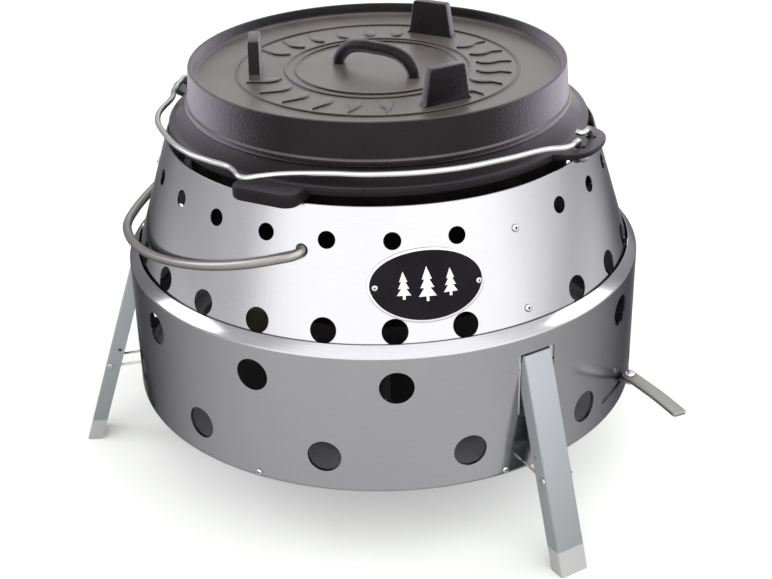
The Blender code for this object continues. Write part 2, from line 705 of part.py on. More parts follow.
def build_legs(root):
    """Legs, their hinge brackets and pins, the stays and the pins that they hook against"""
    foot_in = LEG_DEPTH / math.cos(LEG_ANGLE)
    web = SHEET / math.cos(LEG_ANGLE)

    def local(r, z):
        return (r - PIVOT_R, z - PIVOT_Z)

    side = [local(leg_out(LEG_TOP), LEG_TOP), local(leg_out(0.0), 0.0),
            local(leg_out(0.0) - foot_in, 0.0), local(leg_out(0.145) - foot_in, 0.145)]
    side += arc(0.0, 0.0, EAR_R, 200, 90, 8)
    side += [local(leg_out(LEG_TOP) - web - 0.0006, LEG_TOP - 0.0006)]
    side += [local(leg_out(LEG_TOP) - web * 0.6, LEG_TOP)]
    hollow = [local(leg_out(-0.01) - web, -0.01), local(leg_out(0.18) - web, 0.18),
              local(DRUM_R - 0.03, 0.18), local(DRUM_R - 0.03, -0.01)]
    half = LEG_WIDTH / 2
    for i, k in enumerate(LEG_COLUMNS):
        az = column_az(k)
        number = i + 1
        leg = flat("leg_%d" % number, side, LEG_WIDTH, PARTS, root, side_place())
        seat(leg, az, PIVOT_R, PIVOT_Z)
        inner = flat("leg_hollow_%d" % number, hollow, LEG_WIDTH - 2 * SHEET, CUTTERS, leg,
                     side_place())
        boolean(leg, inner, "DIFFERENCE")
        pin_at = (PIN_R - PIVOT_R, PIN_Z - PIVOT_Z)
        spare = (DRUM_R + 0.0174 - PIVOT_R, 0.0891 - PIVOT_Z)
        bores = [((-half - 0.004, 0, 0), (half + 0.004, 0, 0), LEG_PIN_R + HOLE_GAP)]
        bores += [((-half - 0.004, -pin_at[0], pin_at[1]), (half + 0.004, -pin_at[0], pin_at[1]),
                   STAY_PIN_R + HOLE_GAP)]
        bores += [((-half - 0.004, -spare[0], spare[1]), (half + 0.004, -spare[0], spare[1]),
                   0.0015)]
        boolean(leg, rods("leg_bores_%d" % number, bores, CUTTERS, leg, 12), "DIFFERENCE")
        steel(leg)

        out = DRUM_IN - GAP * 1.7
        ring = [(out, BRACKET_HIGH), (out, BRACKET_LOW), (out - BRACKET_SHEET, BRACKET_LOW),
                (out - BRACKET_SHEET, BRACKET_HIGH)]
        bracket = turned("leg_bracket_%d" % number, ring, PARTS, root)
        bracket.rotation_euler[2] = math.radians(az)
        keep = box("bracket_keep_%d" % number, (-BRACKET_HALF, -DRUM_R - 0.04, BRACKET_LOW - 0.01),
                   (BRACKET_HALF, -DRUM_R + 0.06, BRACKET_HIGH + 0.01), CUTTERS, bracket)
        boolean(bracket, keep, "INTERSECT")
        ear_low = half + 0.0004
        opening = box("bracket_opening_%d" % number,
                      (-ear_low - 0.0005, -DRUM_R - 0.04, BRACKET_LOW - 0.01),
                      (ear_low + 0.0005, -DRUM_R + 0.06, 0.171), CUTTERS, bracket)
        boolean(bracket, opening, "DIFFERENCE")
        for s in (-1, 1):
            edges = sorted((s * ear_low, s * (ear_low + SHEET)))
            ear = box("bracket_ear_%d_%d" % (number, s > 0),
                      (edges[0], -out + 0.0004, PIVOT_Z - 0.0052),
                      (edges[1], -DRUM_R + BRACKET_EAR_IN, PIVOT_Z + 0.0052), CUTTERS, bracket)
            boolean(bracket, ear, "UNION")
        reach = half + 0.006
        bore = rods("bracket_bore_%d" % number, [((-reach, -PIVOT_R, PIVOT_Z),
                    (reach, -PIVOT_R, PIVOT_Z), LEG_PIN_R + HOLE_GAP)], CUTTERS, bracket, 12)
        boolean(bracket, bore, "DIFFERENCE")
        steel(bracket)

        end = half + 0.0019
        pin = rods("leg_pin_%d" % number, [((-end, 0, 0), (end, 0, 0), LEG_PIN_R)], PARTS, root, 12)
        seat(pin, az, PIVOT_R, PIVOT_Z)
        wire_steel(pin)

        a = STAY_HALF
        slope = STAY_DROP / STAY_LENGTH
        lay = [(-a, 0.003, 0.003 * slope), (-a, 0.0, 0.0)]
        lay += [(-a, -STAY_LENGTH * f, -STAY_DROP * f) for f in (0.3, 0.65, 0.88)]
        lay += [(-a + 0.0009, -STAY_LENGTH * 0.967, -STAY_DROP * 0.967),
                (-a + 0.003, -STAY_LENGTH, -STAY_DROP), (0, -STAY_LENGTH, -STAY_DROP)]
        lay += [(-x, y, z) for x, y, z in reversed(lay[:-1])]
        stay = wire("leg_stay_%d" % number, lay, STAY_WIRE / 2, PARTS, root, 2, 1)
        seat(stay, az, STAY_R, STAY_Z)
        wire_steel(stay)

        length = LEG_WIDTH + 2 * GAP
        hook_pin = turned("stay_pin_%d" % number,
                          pin_profile(STAY_PIN_HEAD_R, 0.001, STAY_PIN_R, length,
                                      STAY_PIN_HEAD_R, 0.001), PARTS, root, 12)
        a = math.radians(az)
        hook_pin.location = polar(az, PIN_R, PIN_Z)
        hook_pin.location += Vector((math.cos(a), math.sin(a), 0)) * length / 2
        hook_pin.rotation_euler = (0.0, math.pi / 2, a)
        wire_steel(hook_pin)


def build_air(root):
    """Air ring inside the drum, its tab, the bolt and the lever"""
    out = DRUM_IN - GAP
    profile = [(out, RING_HIGH), (out, RING_LOW), (out - RING_SHEET, RING_LOW),
               (out - RING_SHEET, RING_HIGH)]
    ring = turned("air_ring", profile, PARTS, root)
    holes = [(column_az(k), out, DRUM_LOWER_ROW, DRUM_HOLE, 0.0)
             for k in range(1, 24, 2)]
    boolean(ring, radial_holes("ring_holes", holes, root, 14), "DIFFERENCE")
    tab = box("ring_tab", (-TAB_WIDTH / 2, -BOLT_RADIUS - 0.0056, TAB_Z),
              (TAB_WIDTH / 2, -out + RING_SHEET + 0.0008, TAB_Z + TAB_THICK), CUTTERS, root)
    tab.rotation_euler[2] = math.radians(TAB_AZ)
    boolean(ring, tab, "UNION")
    p = polar(TAB_AZ, BOLT_RADIUS, 0.0)
    hole = rods("tab_hole", [((p.x, p.y, TAB_Z - 0.005), (p.x, p.y, TAB_Z + 0.005),
                BOLT_R + HOLE_GAP)], CUTTERS, root, 20)
    boolean(ring, hole, "DIFFERENCE")
    steel(ring)

    lever_low = TAB_Z + TAB_THICK + GAP
    half = LEVER_WIDTH / 2
    left = []
    right = []
    path = [Vector((x, -y)) for x, y in LEVER_PATH]
    for i, point in enumerate(path):
        before = path[max(i - 1, 0)]
        after = path[min(i + 1, len(path) - 1)]
        run = (after - before).normalized()
        across = Vector((-run.y, run.x))
        left.append(point + across * half)
        right.append(point - across * half)
    run = (path[1] - path[0]).normalized()
    facing = math.degrees(math.atan2(run.y, run.x))
    outline = [(x, y) for x, y in arc(0.0, 0.0, half, facing + 90, facing + 270, 11)]
    outline += [(p.x, p.y) for p in right[1:-1]]
    run = (path[-1] - path[-2]).normalized()
    outline += [tuple(right[-1] - run * 0.002), tuple(right[-1] + (path[-1] - right[-1]) * 0.25)]
    outline += [tuple(left[-1] + (path[-1] - left[-1]) * 0.25), tuple(left[-1] - run * 0.002)]
    outline += [(p.x, p.y) for p in reversed(left[1:-1])]
    lever = flat("air_lever", outline, LEVER_THICK, PARTS, root)
    seat(lever, TAB_AZ, BOLT_RADIUS, lever_low + LEVER_THICK / 2)
    bore = rods("lever_bore", [((0, 0, -0.01), (0, 0, 0.01), BOLT_R + HOLE_GAP)], CUTTERS, lever,
                20)
    boolean(lever, bore, "DIFFERENCE")
    steel(lever)

    length = GAP + LEVER_THICK + GAP + TAB_THICK + GAP
    bolt = turned("lever_bolt", pin_profile(0.0045, 0.0026, BOLT_R, length, 0.0038, 0.0026),
                  PARTS, root, 20)
    seat(bolt, TAB_AZ, BOLT_RADIUS, lever_low + LEVER_THICK + GAP)
    wire_steel(bolt)


def build_pot(root):
    """Camp oven body with flange, two drilled ears and two tabs"""
    flange = LIP_Z + POT_FLANGE_Z - POT_FLANGE_THICK
    flange_top = LIP_Z + POT_FLANGE_Z
    bottom = LIP_Z + POT_BOTTOM
    rim = LIP_Z + POT_RIM_Z
    profile = [(0.0, bottom + POT_WALL), (POT_LOW_R - 0.014, bottom + POT_WALL)]
    profile += arc(POT_LOW_R - 0.012, bottom + 0.012, 0.006, -90, 0, 4)
    profile += [(POT_RIM_R - POT_WALL, rim), (POT_RIM_R - 0.001, rim), (POT_RIM_R, rim - 0.001)]
    profile += [(POT_RIM_R, flange_top + 0.002), (POT_RIM_R + 0.002, flange_top)]
    profile += [(POT_FLANGE_R - 0.0012, flange_top), (POT_FLANGE_R, flange_top - 0.0012)]
    profile += [(POT_FLANGE_R, flange + 0.0012), (POT_FLANGE_R - 0.0012, flange)]
    profile += [(POT_TOP_R, flange)]
    profile += arc(POT_LOW_R - 0.012, bottom + 0.012, 0.012, 0, -90, 6)
    profile += [(0.0, bottom)]
    pot = turned("pot", profile, PARTS, root, POT_STEPS)
    pot.location.x = POT_X
    for i, az in enumerate(EAR_AZ):
        w = EAR_HALF
        out = EAR_OUT
        outline = [(-w - 0.001, -out + 0.036), (-w, -out + 0.024), (-w * 0.93, -out + 0.016)]
        outline += [(-w * 0.78, -out + 0.0082), (-w * 0.55, -out + 0.0032)]
        outline += [(-w * 0.28, -out + 0.0007), (0.0, -out)]
        outline += [(-x, y) for x, y in reversed(outline[:-1])]
        ear = flat("pot_ear_%d" % i, outline, EAR_THICK, CUTTERS, pot)
        ear.location.z = flange_top - EAR_THICK / 2 - 0.0003
        ear.rotation_euler[2] = math.radians(az)
        boolean(pot, ear, "UNION")
        bores = []
        for s in (-1, 1):
            x = s * EAR_HOLE_OFF
            bores.append(((x, -EAR_HOLE_R, flange_top - 0.02), (x, -EAR_HOLE_R, flange_top + 0.01),
                          EAR_HOLE / 2))
        bore = rods("ear_holes_%d" % i, bores, CUTTERS, pot, 20)
        bore.rotation_euler[2] = math.radians(az)
        boolean(pot, bore, "DIFFERENCE")
    for i, az in enumerate(TAB_AZS):
        w = POT_TAB_HALF
        out = POT_TAB_OUT
        outline = [(-w - 0.001, -out + 0.0379), (-w, -out + 0.009), (-w * 0.92, -out + 0.004)]
        outline += [(-w * 0.78, -out + 0.0012), (-w * 0.6, -out)]
        outline += [(-x, y) for x, y in reversed(outline)]
        tab = flat("pot_tab_%d" % i, outline, POT_TAB_THICK, CUTTERS, pot)
        tab.location.z = CONE_TOP + GAP + POT_TAB_THICK / 2
        tab.rotation_euler[2] = math.radians(az)
        boolean(pot, tab, "UNION")
    iron(pot)
    return pot


def bail_end(side):
    """Almost closed ring through an ear's two holes, from the arm to the hooked end"""
    ring = EAR_HOLE_OFF
    points = [(-ring - 0.0185, ring - 0.0025, -0.0012), (-ring - 0.01, ring - 0.0022, -0.0006),
              (-ring - 0.005, ring - 0.0026, 0.0), (-ring - 0.0017, ring - 0.0047, 0.0)]
    for i in range(10):
        a = math.radians(-80 - 32.5 * i)
        points.append((ring * math.sin(a), ring * math.cos(a), 0.0))
    points += [(-ring + 0.0063, ring - 0.0007, -0.0016), (-ring + 0.0061, ring - 0.0005, -0.0058)]
    return [(side * x, -(EAR_HOLE_R + out), z) for x, z, out in points]


def build_bail(root):
    """Wire bail, its origin on the line through the pot's two ears"""
    z = BAIL_HEIGHT
    azimuth = EAR_AZ[0]
    turn = Matrix.Rotation(math.radians(azimuth), 4, "Z")
    path = [turn @ Vector(p) for p in reversed(bail_end(1))]
    for az, beyond, rise in reversed(BAIL_ARC):
        p = polar(az, POT_FLANGE_R + beyond, LIP_Z + POT_FLANGE_Z + rise - z)
        p.x -= POT_X
        path.append(p)
    turn = Matrix.Rotation(math.radians(EAR_AZ[1]), 4, "Z")
    path += [turn @ Vector(p) for p in bail_end(-1)]
    bail = wire("bail", path, BAIL_WIRE / 2, PARTS, root, 2, 2)
    bail.location = (POT_X, 0.0, z)
    wire_steel(bail)


def build_lid(root):
    """Lid with raised rim, three legs for use as a griddle, and a loop handle"""
    plate = LID_PLATE_TOP
    profile = [(0.0, plate), (LID_RIM_R - LID_RIM_WALL - 0.003, plate)]
    profile += [(LID_RIM_R - LID_RIM_WALL, plate + 0.0025)]
    profile += [(LID_RIM_R - LID_RIM_WALL + 0.0006, LID_HEIGHT - 0.0008)]
    profile += [(LID_RIM_R - LID_RIM_WALL + 0.0014, LID_HEIGHT)]
    profile += [(LID_RIM_R - 0.0012, LID_HEIGHT), (LID_RIM_R, LID_HEIGHT - 0.0012)]
    profile += [(LID_SKIRT_R - 0.0006, 0.006), (LID_SKIRT_R, 0.0035), (LID_SKIRT_R, 0.001)]
    profile += [(LID_SKIRT_R - 0.001, 0.0), (LID_SKIRT_R - 0.0075, 0.0)]
    profile += [(LID_RIM_R - LID_RIM_WALL - 0.003, plate - LID_PLATE), (0.0, plate - LID_PLATE)]
    lid = turned("lid", profile, PARTS, root, POT_STEPS)
    lid.location = (POT_X, 0.0, LIP_Z + LID_Z)
    for i, az in enumerate(LID_LEG_AZ):
        low = plate - 0.0015
        top = plate + LID_LEG_HEIGHT
        b = LID_LEG_BASE / 2
        t = LID_LEG_TIP / 2
        outline = [(-b - 0.003, low), (b + 0.003, low), (b + 0.0022, plate + 0.0006),
                   (b, plate + 0.004), (t, top - 0.0015), (t - 0.0015, top)]
        outline += [(-t + 0.0015, top), (-t, top - 0.0015), (-b, plate + 0.004),
                    (-b - 0.0022, plate + 0.0006)]
        place = Matrix(((1, 0, 0, 0), (0, 0, -1, 0), (0, 1, 0, 0), (0, 0, 0, 1)))
        leg = flat("lid_leg_%d" % i, outline, LID_LEG_THICK, CUTTERS, lid, place)
        leg.location = polar(az, LID_LEG_R - LID_LEG_THICK / 2 + 0.001, 0.0)
        leg.rotation_euler[2] = math.radians(az)
        boolean(lid, leg, "UNION")
    h = LOOP_HEIGHT - LOOP_R
    e = LOOP_HALF
    lay = [(-e, 0, -0.004), (-e, 0, 0.003), (-e * 0.93, 0, h * 0.45), (-e * 0.74, 0, h * 0.78)]
    lay += [(-e * 0.42, 0, h * 0.97), (0, 0, h)]
    lay += [(-x, y, z) for x, y, z in reversed(lay[:-1])]
    loop = wire("lid_loop", lay, LOOP_R, CUTTERS, lid, 2, 2)
    loop.location = (LOOP_MIDDLE[0] - POT_X, LOOP_MIDDLE[1], plate)
    loop.rotation_euler[2] = math.radians(LOOP_AZ - 90.0)
    boolean(lid, loop, "UNION")
    iron(lid)


def main():
    root = bpy.data.objects.new("drum_axis", None)
    PARTS.objects.link(root)
    root.location = (AXIS_X, AXIS_Y, 0.0)
    build_drum(root)
    build_base(root)
    build_cone(root)
    build_supports(root)
    build_badge(root)
    build_carry_handle(root)
    build_legs(root)
    build_air(root)
    build_pot(root)
    build_bail(root)
    build_lid(root)


for old in list(bpy.data.objects):
    bpy.data.objects.remove(old, do_unlink=True)
PARTS = bpy.data.collections.new("camp_grill")
CUTTERS = bpy.data.collections.new("cutters")
bpy.context.scene.collection.children.link(PARTS)
bpy.context.scene.collection.children.link(CUTTERS)
main()
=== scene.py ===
"""Looks of a portable charcoal grill with a camp oven standing in its top.

Lengths are in metres and Z points up. Pieces are shaped round the drum's axis and
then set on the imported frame. Azimuth 0 is the front and grows towards plus X.
"""
import math

import bmesh
import bpy
from bpy.props import FloatProperty, FloatVectorProperty, IntProperty, PointerProperty
from mathutils import Matrix, Vector


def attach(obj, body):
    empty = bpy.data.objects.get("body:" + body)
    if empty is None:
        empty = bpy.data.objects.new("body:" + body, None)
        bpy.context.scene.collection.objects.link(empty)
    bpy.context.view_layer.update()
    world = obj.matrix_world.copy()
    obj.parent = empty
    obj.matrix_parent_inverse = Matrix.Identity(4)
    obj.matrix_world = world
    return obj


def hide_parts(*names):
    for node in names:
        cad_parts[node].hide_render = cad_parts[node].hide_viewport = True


bl_info = {
    "name": "Camp grill looks",
    "version": (1, 0, 0),
    "blender": (4, 5, 0),
    "location": "View3D > Sidebar > Grill",
    "description": "Builds the grill, the camp oven and their studio on the packed frame",
    "category": "Object",
}

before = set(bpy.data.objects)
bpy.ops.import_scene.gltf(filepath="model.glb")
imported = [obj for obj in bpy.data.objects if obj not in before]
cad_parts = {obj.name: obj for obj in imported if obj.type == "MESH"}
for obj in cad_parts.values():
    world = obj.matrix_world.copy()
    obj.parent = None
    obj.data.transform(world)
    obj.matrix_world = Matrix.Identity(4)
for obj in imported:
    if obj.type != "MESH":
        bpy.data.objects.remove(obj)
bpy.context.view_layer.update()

AXIS = Vector((0.0156, -0.0047, 0.0))
GAP = 0.0003

# Drum: heights, azimuths, holes, and openings as width, height, corner, middle
DRUM_BOTTOM = 0.068
LIP_Z = 0.191
WALL_TOP = 0.1835
SHOULDER_R = 0.0075
SHOULDER_BEND = 0.003
CORNER_R = 0.003
FLANGE_IN = 0.0083
COLUMN_START = 2.184
LEG_COLUMNS = (2, 10, 18)
HIGH_ROW = 0.159
LOW_ROW = 0.0983
STAY_HOLE = 0.005
SCREW_AZ = (-27.6, 92.4, -147.6, 25.1, 145.1, -94.9)
SCREW_Z = 0.0732
SCREW_HOLE = 0.0031
LEG_WINDOW = (0.0332, 0.063, 0.0025, 0.0004, 0.1385)
AIR_SLOT = (0.0516, 0.005, 0.0024, 0.0, 0.0885)
SLOT_AZ = 61.5
WALL_SHARP = 20

# Cone: rises above the lip, and what is fixed to it
CONE_INSET = 0.0093
CONE_BOTTOM = LIP_Z - 0.004
CONE_TOP = LIP_Z + 0.0947
CONE_ROWS = ((0.071, 0.013), (0.008, 0.0195))
SUPPORT_RISES = (0.067, 0.009)
SUPPORT_HOLE = 0.0034
BADGE_OVAL = (0.0866, 0.0545)
BADGE_AZ = 9.4
BADGE_RISE = 0.0393
BADGE_RIVETS = ((-1.9, 0.039), (21.0, 0.0376))
BADGE_HOLE = 0.0027
HANDLE_AZ = -88.0
HANDLE_TILT = 19.1
HANDLE_RISE = 0.0626
HANDLE_INSET = 0.1186
HANDLE_PATH = (
    (0.157, 0.0), (0.1671, 0.0), (0.1725, 0.0006), (0.1757, 0.003), (0.1765, 0.0068),
    (0.1757, 0.011), (0.173, 0.018), (0.1684, 0.03), (0.1628, 0.0423), (0.1472, 0.0672),
    (0.1267, 0.0914), (0.1022, 0.1133), (0.0752, 0.1317), (0.0472, 0.1455),
    (0.0206, 0.1541), (0.0, 0.157),
)

# Legs, stays and air lever
LEG_TOP = 0.1685
LEG_SPREAD = 0.0547
LEG_RUN = 0.0536
LEG_DEPTH = 0.0125
PIVOT_IN = 0.0038
PIVOT_Z = 0.1567
STAY_Z = 0.0755
STAY_HALF = 0.0098
STAY_LENGTH = 0.0252
STAY_DROP = 0.003
TAB_Z = 0.0877
TAB_ASIDE = 0.019334
LEVER_OUT = 0.0066
LEVER_HALF = 0.0059
LEVER_PATH = ((0.0, 0.0), (-0.0116, 0.0149), (-0.0246, 0.0308), (-0.04357, 0.05144))

# Camp oven
POT_X = -0.0014
FLANGE_R = 0.1685
FLANGE_TOP = LIP_Z + 0.1054
POT_RIM_R = 0.152
POT_RIM_Z = LIP_Z + 0.1165
POT_FOOT_R = 0.136
POT_DEPTH = 0.1264
EAR_AZ = (62.0, -118.0)
EAR_HALF = 0.035
EAR_OUT = 0.190
EAR_CURVE = ((0.93, 0.016), (0.86, 0.0117), (0.78, 0.0082), (0.67, 0.0053), (0.55, 0.0032),
             (0.42, 0.0016), (0.28, 0.0007), (0.14, 0.0002), (0.0, 0.0))
EAR_HOLE_R = 0.1775
EAR_HOLE_OFF = 0.0115
TAB_AZS = (-27.2, 152.8)
TAB_HALF = 0.0268
TAB_OUT = 0.1872
TAB_CURVE = ((0.97, 0.006), (0.92, 0.004), (0.85, 0.0024), (0.78, 0.0012), (0.70, 0.0004),
             (0.6, 0.0))
BAIL_Z = FLANGE_TOP - 0.0023
BAIL_ARC = (
    (-95.3, 0.0018, 0.0066), (-81.6, 0.0091, 0.0066), (-68.2, 0.0093, 0.0066),
    (-53.4, 0.0097, 0.0066), (-45.5, 0.0069, 0.0066), (-39.8, 0.0043, 0.0058),
    (-37.0, 0.0075, 0.0056), (-33.2, 0.0128, 0.0050), (-29.2, 0.0070, 0.0064),
    (-25.4, 0.0000, 0.0071), (-13.1, -0.0055, 0.0096), (-2.5, -0.0035, 0.0106),
    (15.9, -0.0005, 0.0116), (32.4, -0.0013, 0.0106), (45.4, 0.0015, 0.0086),
)
BAIL_SAG = 0.0045
LID_Z = POT_RIM_Z + GAP
LID_RIM_R = 0.1504
LID_SKIRT_R = 0.1543
LID_HEIGHT = 0.0326
LID_PLATE = 0.0232
LID_LEG_AZ = (31.4, 151.4, -88.6)
LID_LEG_R = 0.0970
LID_LEG_RISE = 0.028
LOOP_AZ = 57.0
LOOP_MIDDLE = (-0.0027, -0.0062)
LOOP_HALF = 0.035
LOOP_RISE = 0.023 - 0.0052
LOOP_WIRE_R = 0.0052

# Fixed colours
RIVET_STEEL = (0.5, 0.5, 0.5)
# Painted shade: the dark colour of the rivets' sunk middle
RIVET_HOLLOW_SHADE = (0.06, 0.055, 0.05)
GRATE_STEEL = (0.2, 0.19, 0.18)
WORN_FOOT = (0.34, 0.335, 0.335, 1.0)
WHITE = (1.0, 1.0, 1.0, 1.0)

# Studio and camera
FLOOR_R = 6.0
FLOOR_GLOW = 0.12
FLOOR_SIDE_SHADE = 0.35
SOFT_BOX_TOP = 0.99
OVERHEAD = 1.3
LAMP_SIDE = 1.8
LAMP_SIZE = 0.9
LAMP_AIM = Vector((0, 0, 0.25))
LEFT_POWER = 13.0
RIGHT_POWER = 14.0
RAMP_SCALE = 3.0
ROUND_LIGHT = (
    (-180, 1.5), (-150, 1.0), (-126, 0.45), (-112, 0.6), (-100, 0.8), (-82, 1.0), (-64, 1.3),
    (-47, 2.35), (0, 2.5), (54, 2.5), (66, 2.1), (80, 1.7), (92, 1.45), (103, 1.25),
    (120, 0.85), (130, 0.75), (152, 1.6), (180, 1.5),
)
CAMERA_HEIGHT = 27.134
CAMERA_ROLL = -1.205
CAMERA_AWAY = 1.2568
CAMERA_AIM = Vector((0.0017, 0, 0.1313))
FOCAL_PIXELS = 1461.33
PHOTO_PIXELS = 772.0
SENSOR = 36.0

UPRIGHT = Matrix(((1, 0, 0, 0), (0, 0, -1, 0), (0, 1, 0, 0), (0, 0, 0, 1)))
SIDEWAYS = Matrix(((0, 0, -1, 0), (-1, 0, 0, 0), (0, 1, 0, 0), (0, 0, 0, 1)))
MATERIALS = {}


def sizes():
    return bpy.context.scene.grill_sizes


def colours():
    return bpy.context.scene.grill_colours


def polar(az, r, z):
    """Point at an azimuth in degrees, a radius and a height"""
    a = math.radians(az)
    return Vector((r * math.sin(a), -r * math.cos(a), z))


def arc(cx, cz, r, start, end, count):
    """Points along an arc, angles in degrees"""
    points = []
    for i in range(count):
        a = math.radians(start + (end - start) * i / (count - 1))
        points.append((cx + r * math.cos(a), cz + r * math.sin(a)))
    return points


def mirrored(points):
    """Mirror image of points in X, the last one first"""
    return [(-x, *rest) for x, *rest in reversed(points)]


def rounded(width, height, radius, cx, cy):
    """Outline of a rectangle with round corners"""
    points = []
    for sx, sy, start in ((1, 1, 0), (-1, 1, 90), (-1, -1, 180), (1, -1, 270)):
        points += arc(cx + sx * (width / 2 - radius), cy + sy * (height / 2 - radius), radius,
                      start, start + 90, 6)
    return points


def oval(width, height, count=96):
    turns = [math.tau * i / count for i in range(count)]
    return [(width / 2 * math.cos(a), height / 2 * math.sin(a)) for a in turns]


def cone_r(z):
    """Outer radius of the cone at a height"""
    return sizes().drum_radius - CONE_INSET + (LIP_Z - z) * sizes().cone_slope


def column_az(k):
    return COLUMN_START + 15.0 * k


def turned(az):
    return Matrix.Rotation(math.radians(az), 4, "Z")


def seat_matrix(az, r, z, tilt=None):
    """Place at an azimuth. With a tilt the own Z points outwards and up"""
    place = Matrix.Translation(polar(az, r, z)) @ turned(az)
    if tilt is not None:
        place = place @ Matrix.Rotation(math.pi / 2 - math.radians(tilt), 4, "X")
    return place


def cone_matrix(az, z, off):
    """Place on the cone's outer face, a distance off along its normal"""
    lean = math.atan(sizes().cone_slope)
    return seat_matrix(az, cone_r(z) + off * math.cos(lean), z + off * math.sin(lean),
                       math.degrees(lean))


def moved(bm, place):
    bmesh.ops.transform(bm, matrix=place, verts=bm.verts)
    return bm


def soften(bm, edges, offset, segments):
    """Round edges over"""
    bmesh.ops.bevel(bm, geom=edges, offset=offset, offset_type="OFFSET", segments=segments,
                    profile=0.5, affect="EDGES", material=-1, clamp_overlap=True)


def lathe(profile, steps, closed=True):
    """Profile of radius and height turned round Z"""
    bm = bmesh.new()
    verts = [bm.verts.new((r, 0.0, z)) for r, z in profile]
    edges = [bm.edges.new(pair) for pair in zip(verts, verts[1:])]
    if closed:
        edges.append(bm.edges.new((verts[-1], verts[0])))
    bmesh.ops.spin(bm, geom=verts + edges, cent=(0, 0, 0), axis=(0, 0, 1),
                   angle=math.tau, steps=steps, use_merge=True)
    bmesh.ops.remove_doubles(bm, verts=bm.verts, dist=0.0000005)
    bmesh.ops.recalc_face_normals(bm, faces=bm.faces)
    return bm


def prism(outline, low, high, soft=0.0, segments=2):
    """Outline in XY drawn up to a height, with the edges of both ends rounded over"""
    bm = bmesh.new()
    face = bm.faces.new([bm.verts.new((x, y, low)) for x, y in outline])
    made = bmesh.ops.extrude_face_region(bm, geom=[face])
    top = [g for g in made["geom"] if isinstance(g, bmesh.types.BMVert)]
    bmesh.ops.translate(bm, verts=top, vec=(0, 0, high - low))
    bmesh.ops.recalc_face_normals(bm, faces=bm.faces)
    if soft:
        half = 0.5 * (high - low)
        rim = [e for e in bm.edges if abs(e.verts[0].co.z - e.verts[1].co.z) < half]
        soften(bm, rim, soft, segments)
    return bm


def rods(parts, sides=48):
    """Straight rods, each from one point to another with a radius"""
    bm = bmesh.new()
    for start, end, radius in parts:
        start = Vector(start)
        end = Vector(end)
        turn = (end - start).to_track_quat("Z", "Y").to_matrix().to_4x4()
        bmesh.ops.create_cone(bm, cap_ends=True, segments=sides, radius1=radius,
                              radius2=radius, depth=(end - start).length,
                              matrix=Matrix.Translation((start + end) / 2) @ turn)
    return bm


def radial_rods(holes):
    """Rods square to a wall: azimuth, radius, height, diameter, upward lean"""
    parts = []
    for az, r, z, diameter, lean in holes:
        a = math.radians(lean)
        out = polar(az, math.cos(a), math.sin(a)) * 0.008
        parts.append((polar(az, r, z) - out, polar(az, r, z) + out, diameter / 2))
    return rods(parts)


def mesh_of(bm, name="part"):
    """Mesh data made of a bmesh, which is freed"""
    mesh = bpy.data.meshes.new(name)
    bm.to_mesh(mesh)
    bm.free()
    return mesh


def linked(name, data):
    """New object in the scene"""
    obj = bpy.data.objects.new(name, data)
    bpy.context.scene.collection.objects.link(obj)
    return obj


def evaluated(obj):
    """Bmesh of an object as its curve settings and modifiers make it"""
    bpy.context.view_layer.update()
    graph = bpy.context.evaluated_depsgraph_get()
    mesh = bpy.data.meshes.new_from_object(obj.evaluated_get(graph))
    bm = bmesh.new()
    bm.from_mesh(mesh)
    bpy.data.meshes.remove(mesh)
    return bm


def joined(*parts):
    """Several meshes in one, each left closed by itself"""
    whole = bmesh.new()
    for bm in parts:
        mesh = mesh_of(bm)
        whole.from_mesh(mesh)
        bpy.data.meshes.remove(mesh)
    return whole


def wire(points, radius, sides=6, smooth=8):
    """Round wire through points, as a closed mesh"""
    data = bpy.data.curves.new("wire", "CURVE")
    data.dimensions = "3D"
    data.bevel_depth = radius
    data.bevel_resolution = sides
    data.use_fill_caps = True
    data.resolution_u = smooth
    spline = data.splines.new("BEZIER")
    spline.bezier_points.add(len(points) - 1)
    for point, co in zip(spline.bezier_points, points):
        point.co = co
        point.handle_left_type = "AUTO"
        point.handle_right_type = "AUTO"
    obj = linked("wire", data)
    bm = evaluated(obj)
    bpy.data.objects.remove(obj, do_unlink=True)
    bmesh.ops.remove_doubles(bm, verts=bm.verts, dist=0.000002)
    bmesh.ops.recalc_face_normals(bm, faces=bm.faces)
    return bm


def combine(bm, other, operation="DIFFERENCE"):
    """Exact Boolean of two closed meshes"""
    objects = [linked("part", mesh_of(part)) for part in (bm, other)]
    mod = objects[0].modifiers.new("cut", "BOOLEAN")
    mod.operation = operation
    mod.solver = "EXACT"
    mod.object = objects[1]
    result = evaluated(objects[0])
    for obj in objects:
        old = obj.data
        bpy.data.objects.remove(obj, do_unlink=True)
        bpy.data.meshes.remove(old)
    return result


def piece(name, bm, finish, body, replaces=(), place=None, sharp=35.0, second=None):
    """Finish a mesh as a named piece on its body, with one or two finishes"""
    if place is not None:
        moved(bm, place)
    mesh = mesh_of(moved(bm, Matrix.Translation(AXIS)), name)
    mesh.shade_smooth()
    mesh.set_sharp_from_angle(angle=math.radians(sharp))
    mesh.materials.append(MATERIALS[finish])
    if second:
        mesh.materials.append(MATERIALS[second])
    obj = linked(name, mesh)
    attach(obj, body)
    if replaces:
        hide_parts(*replaces)


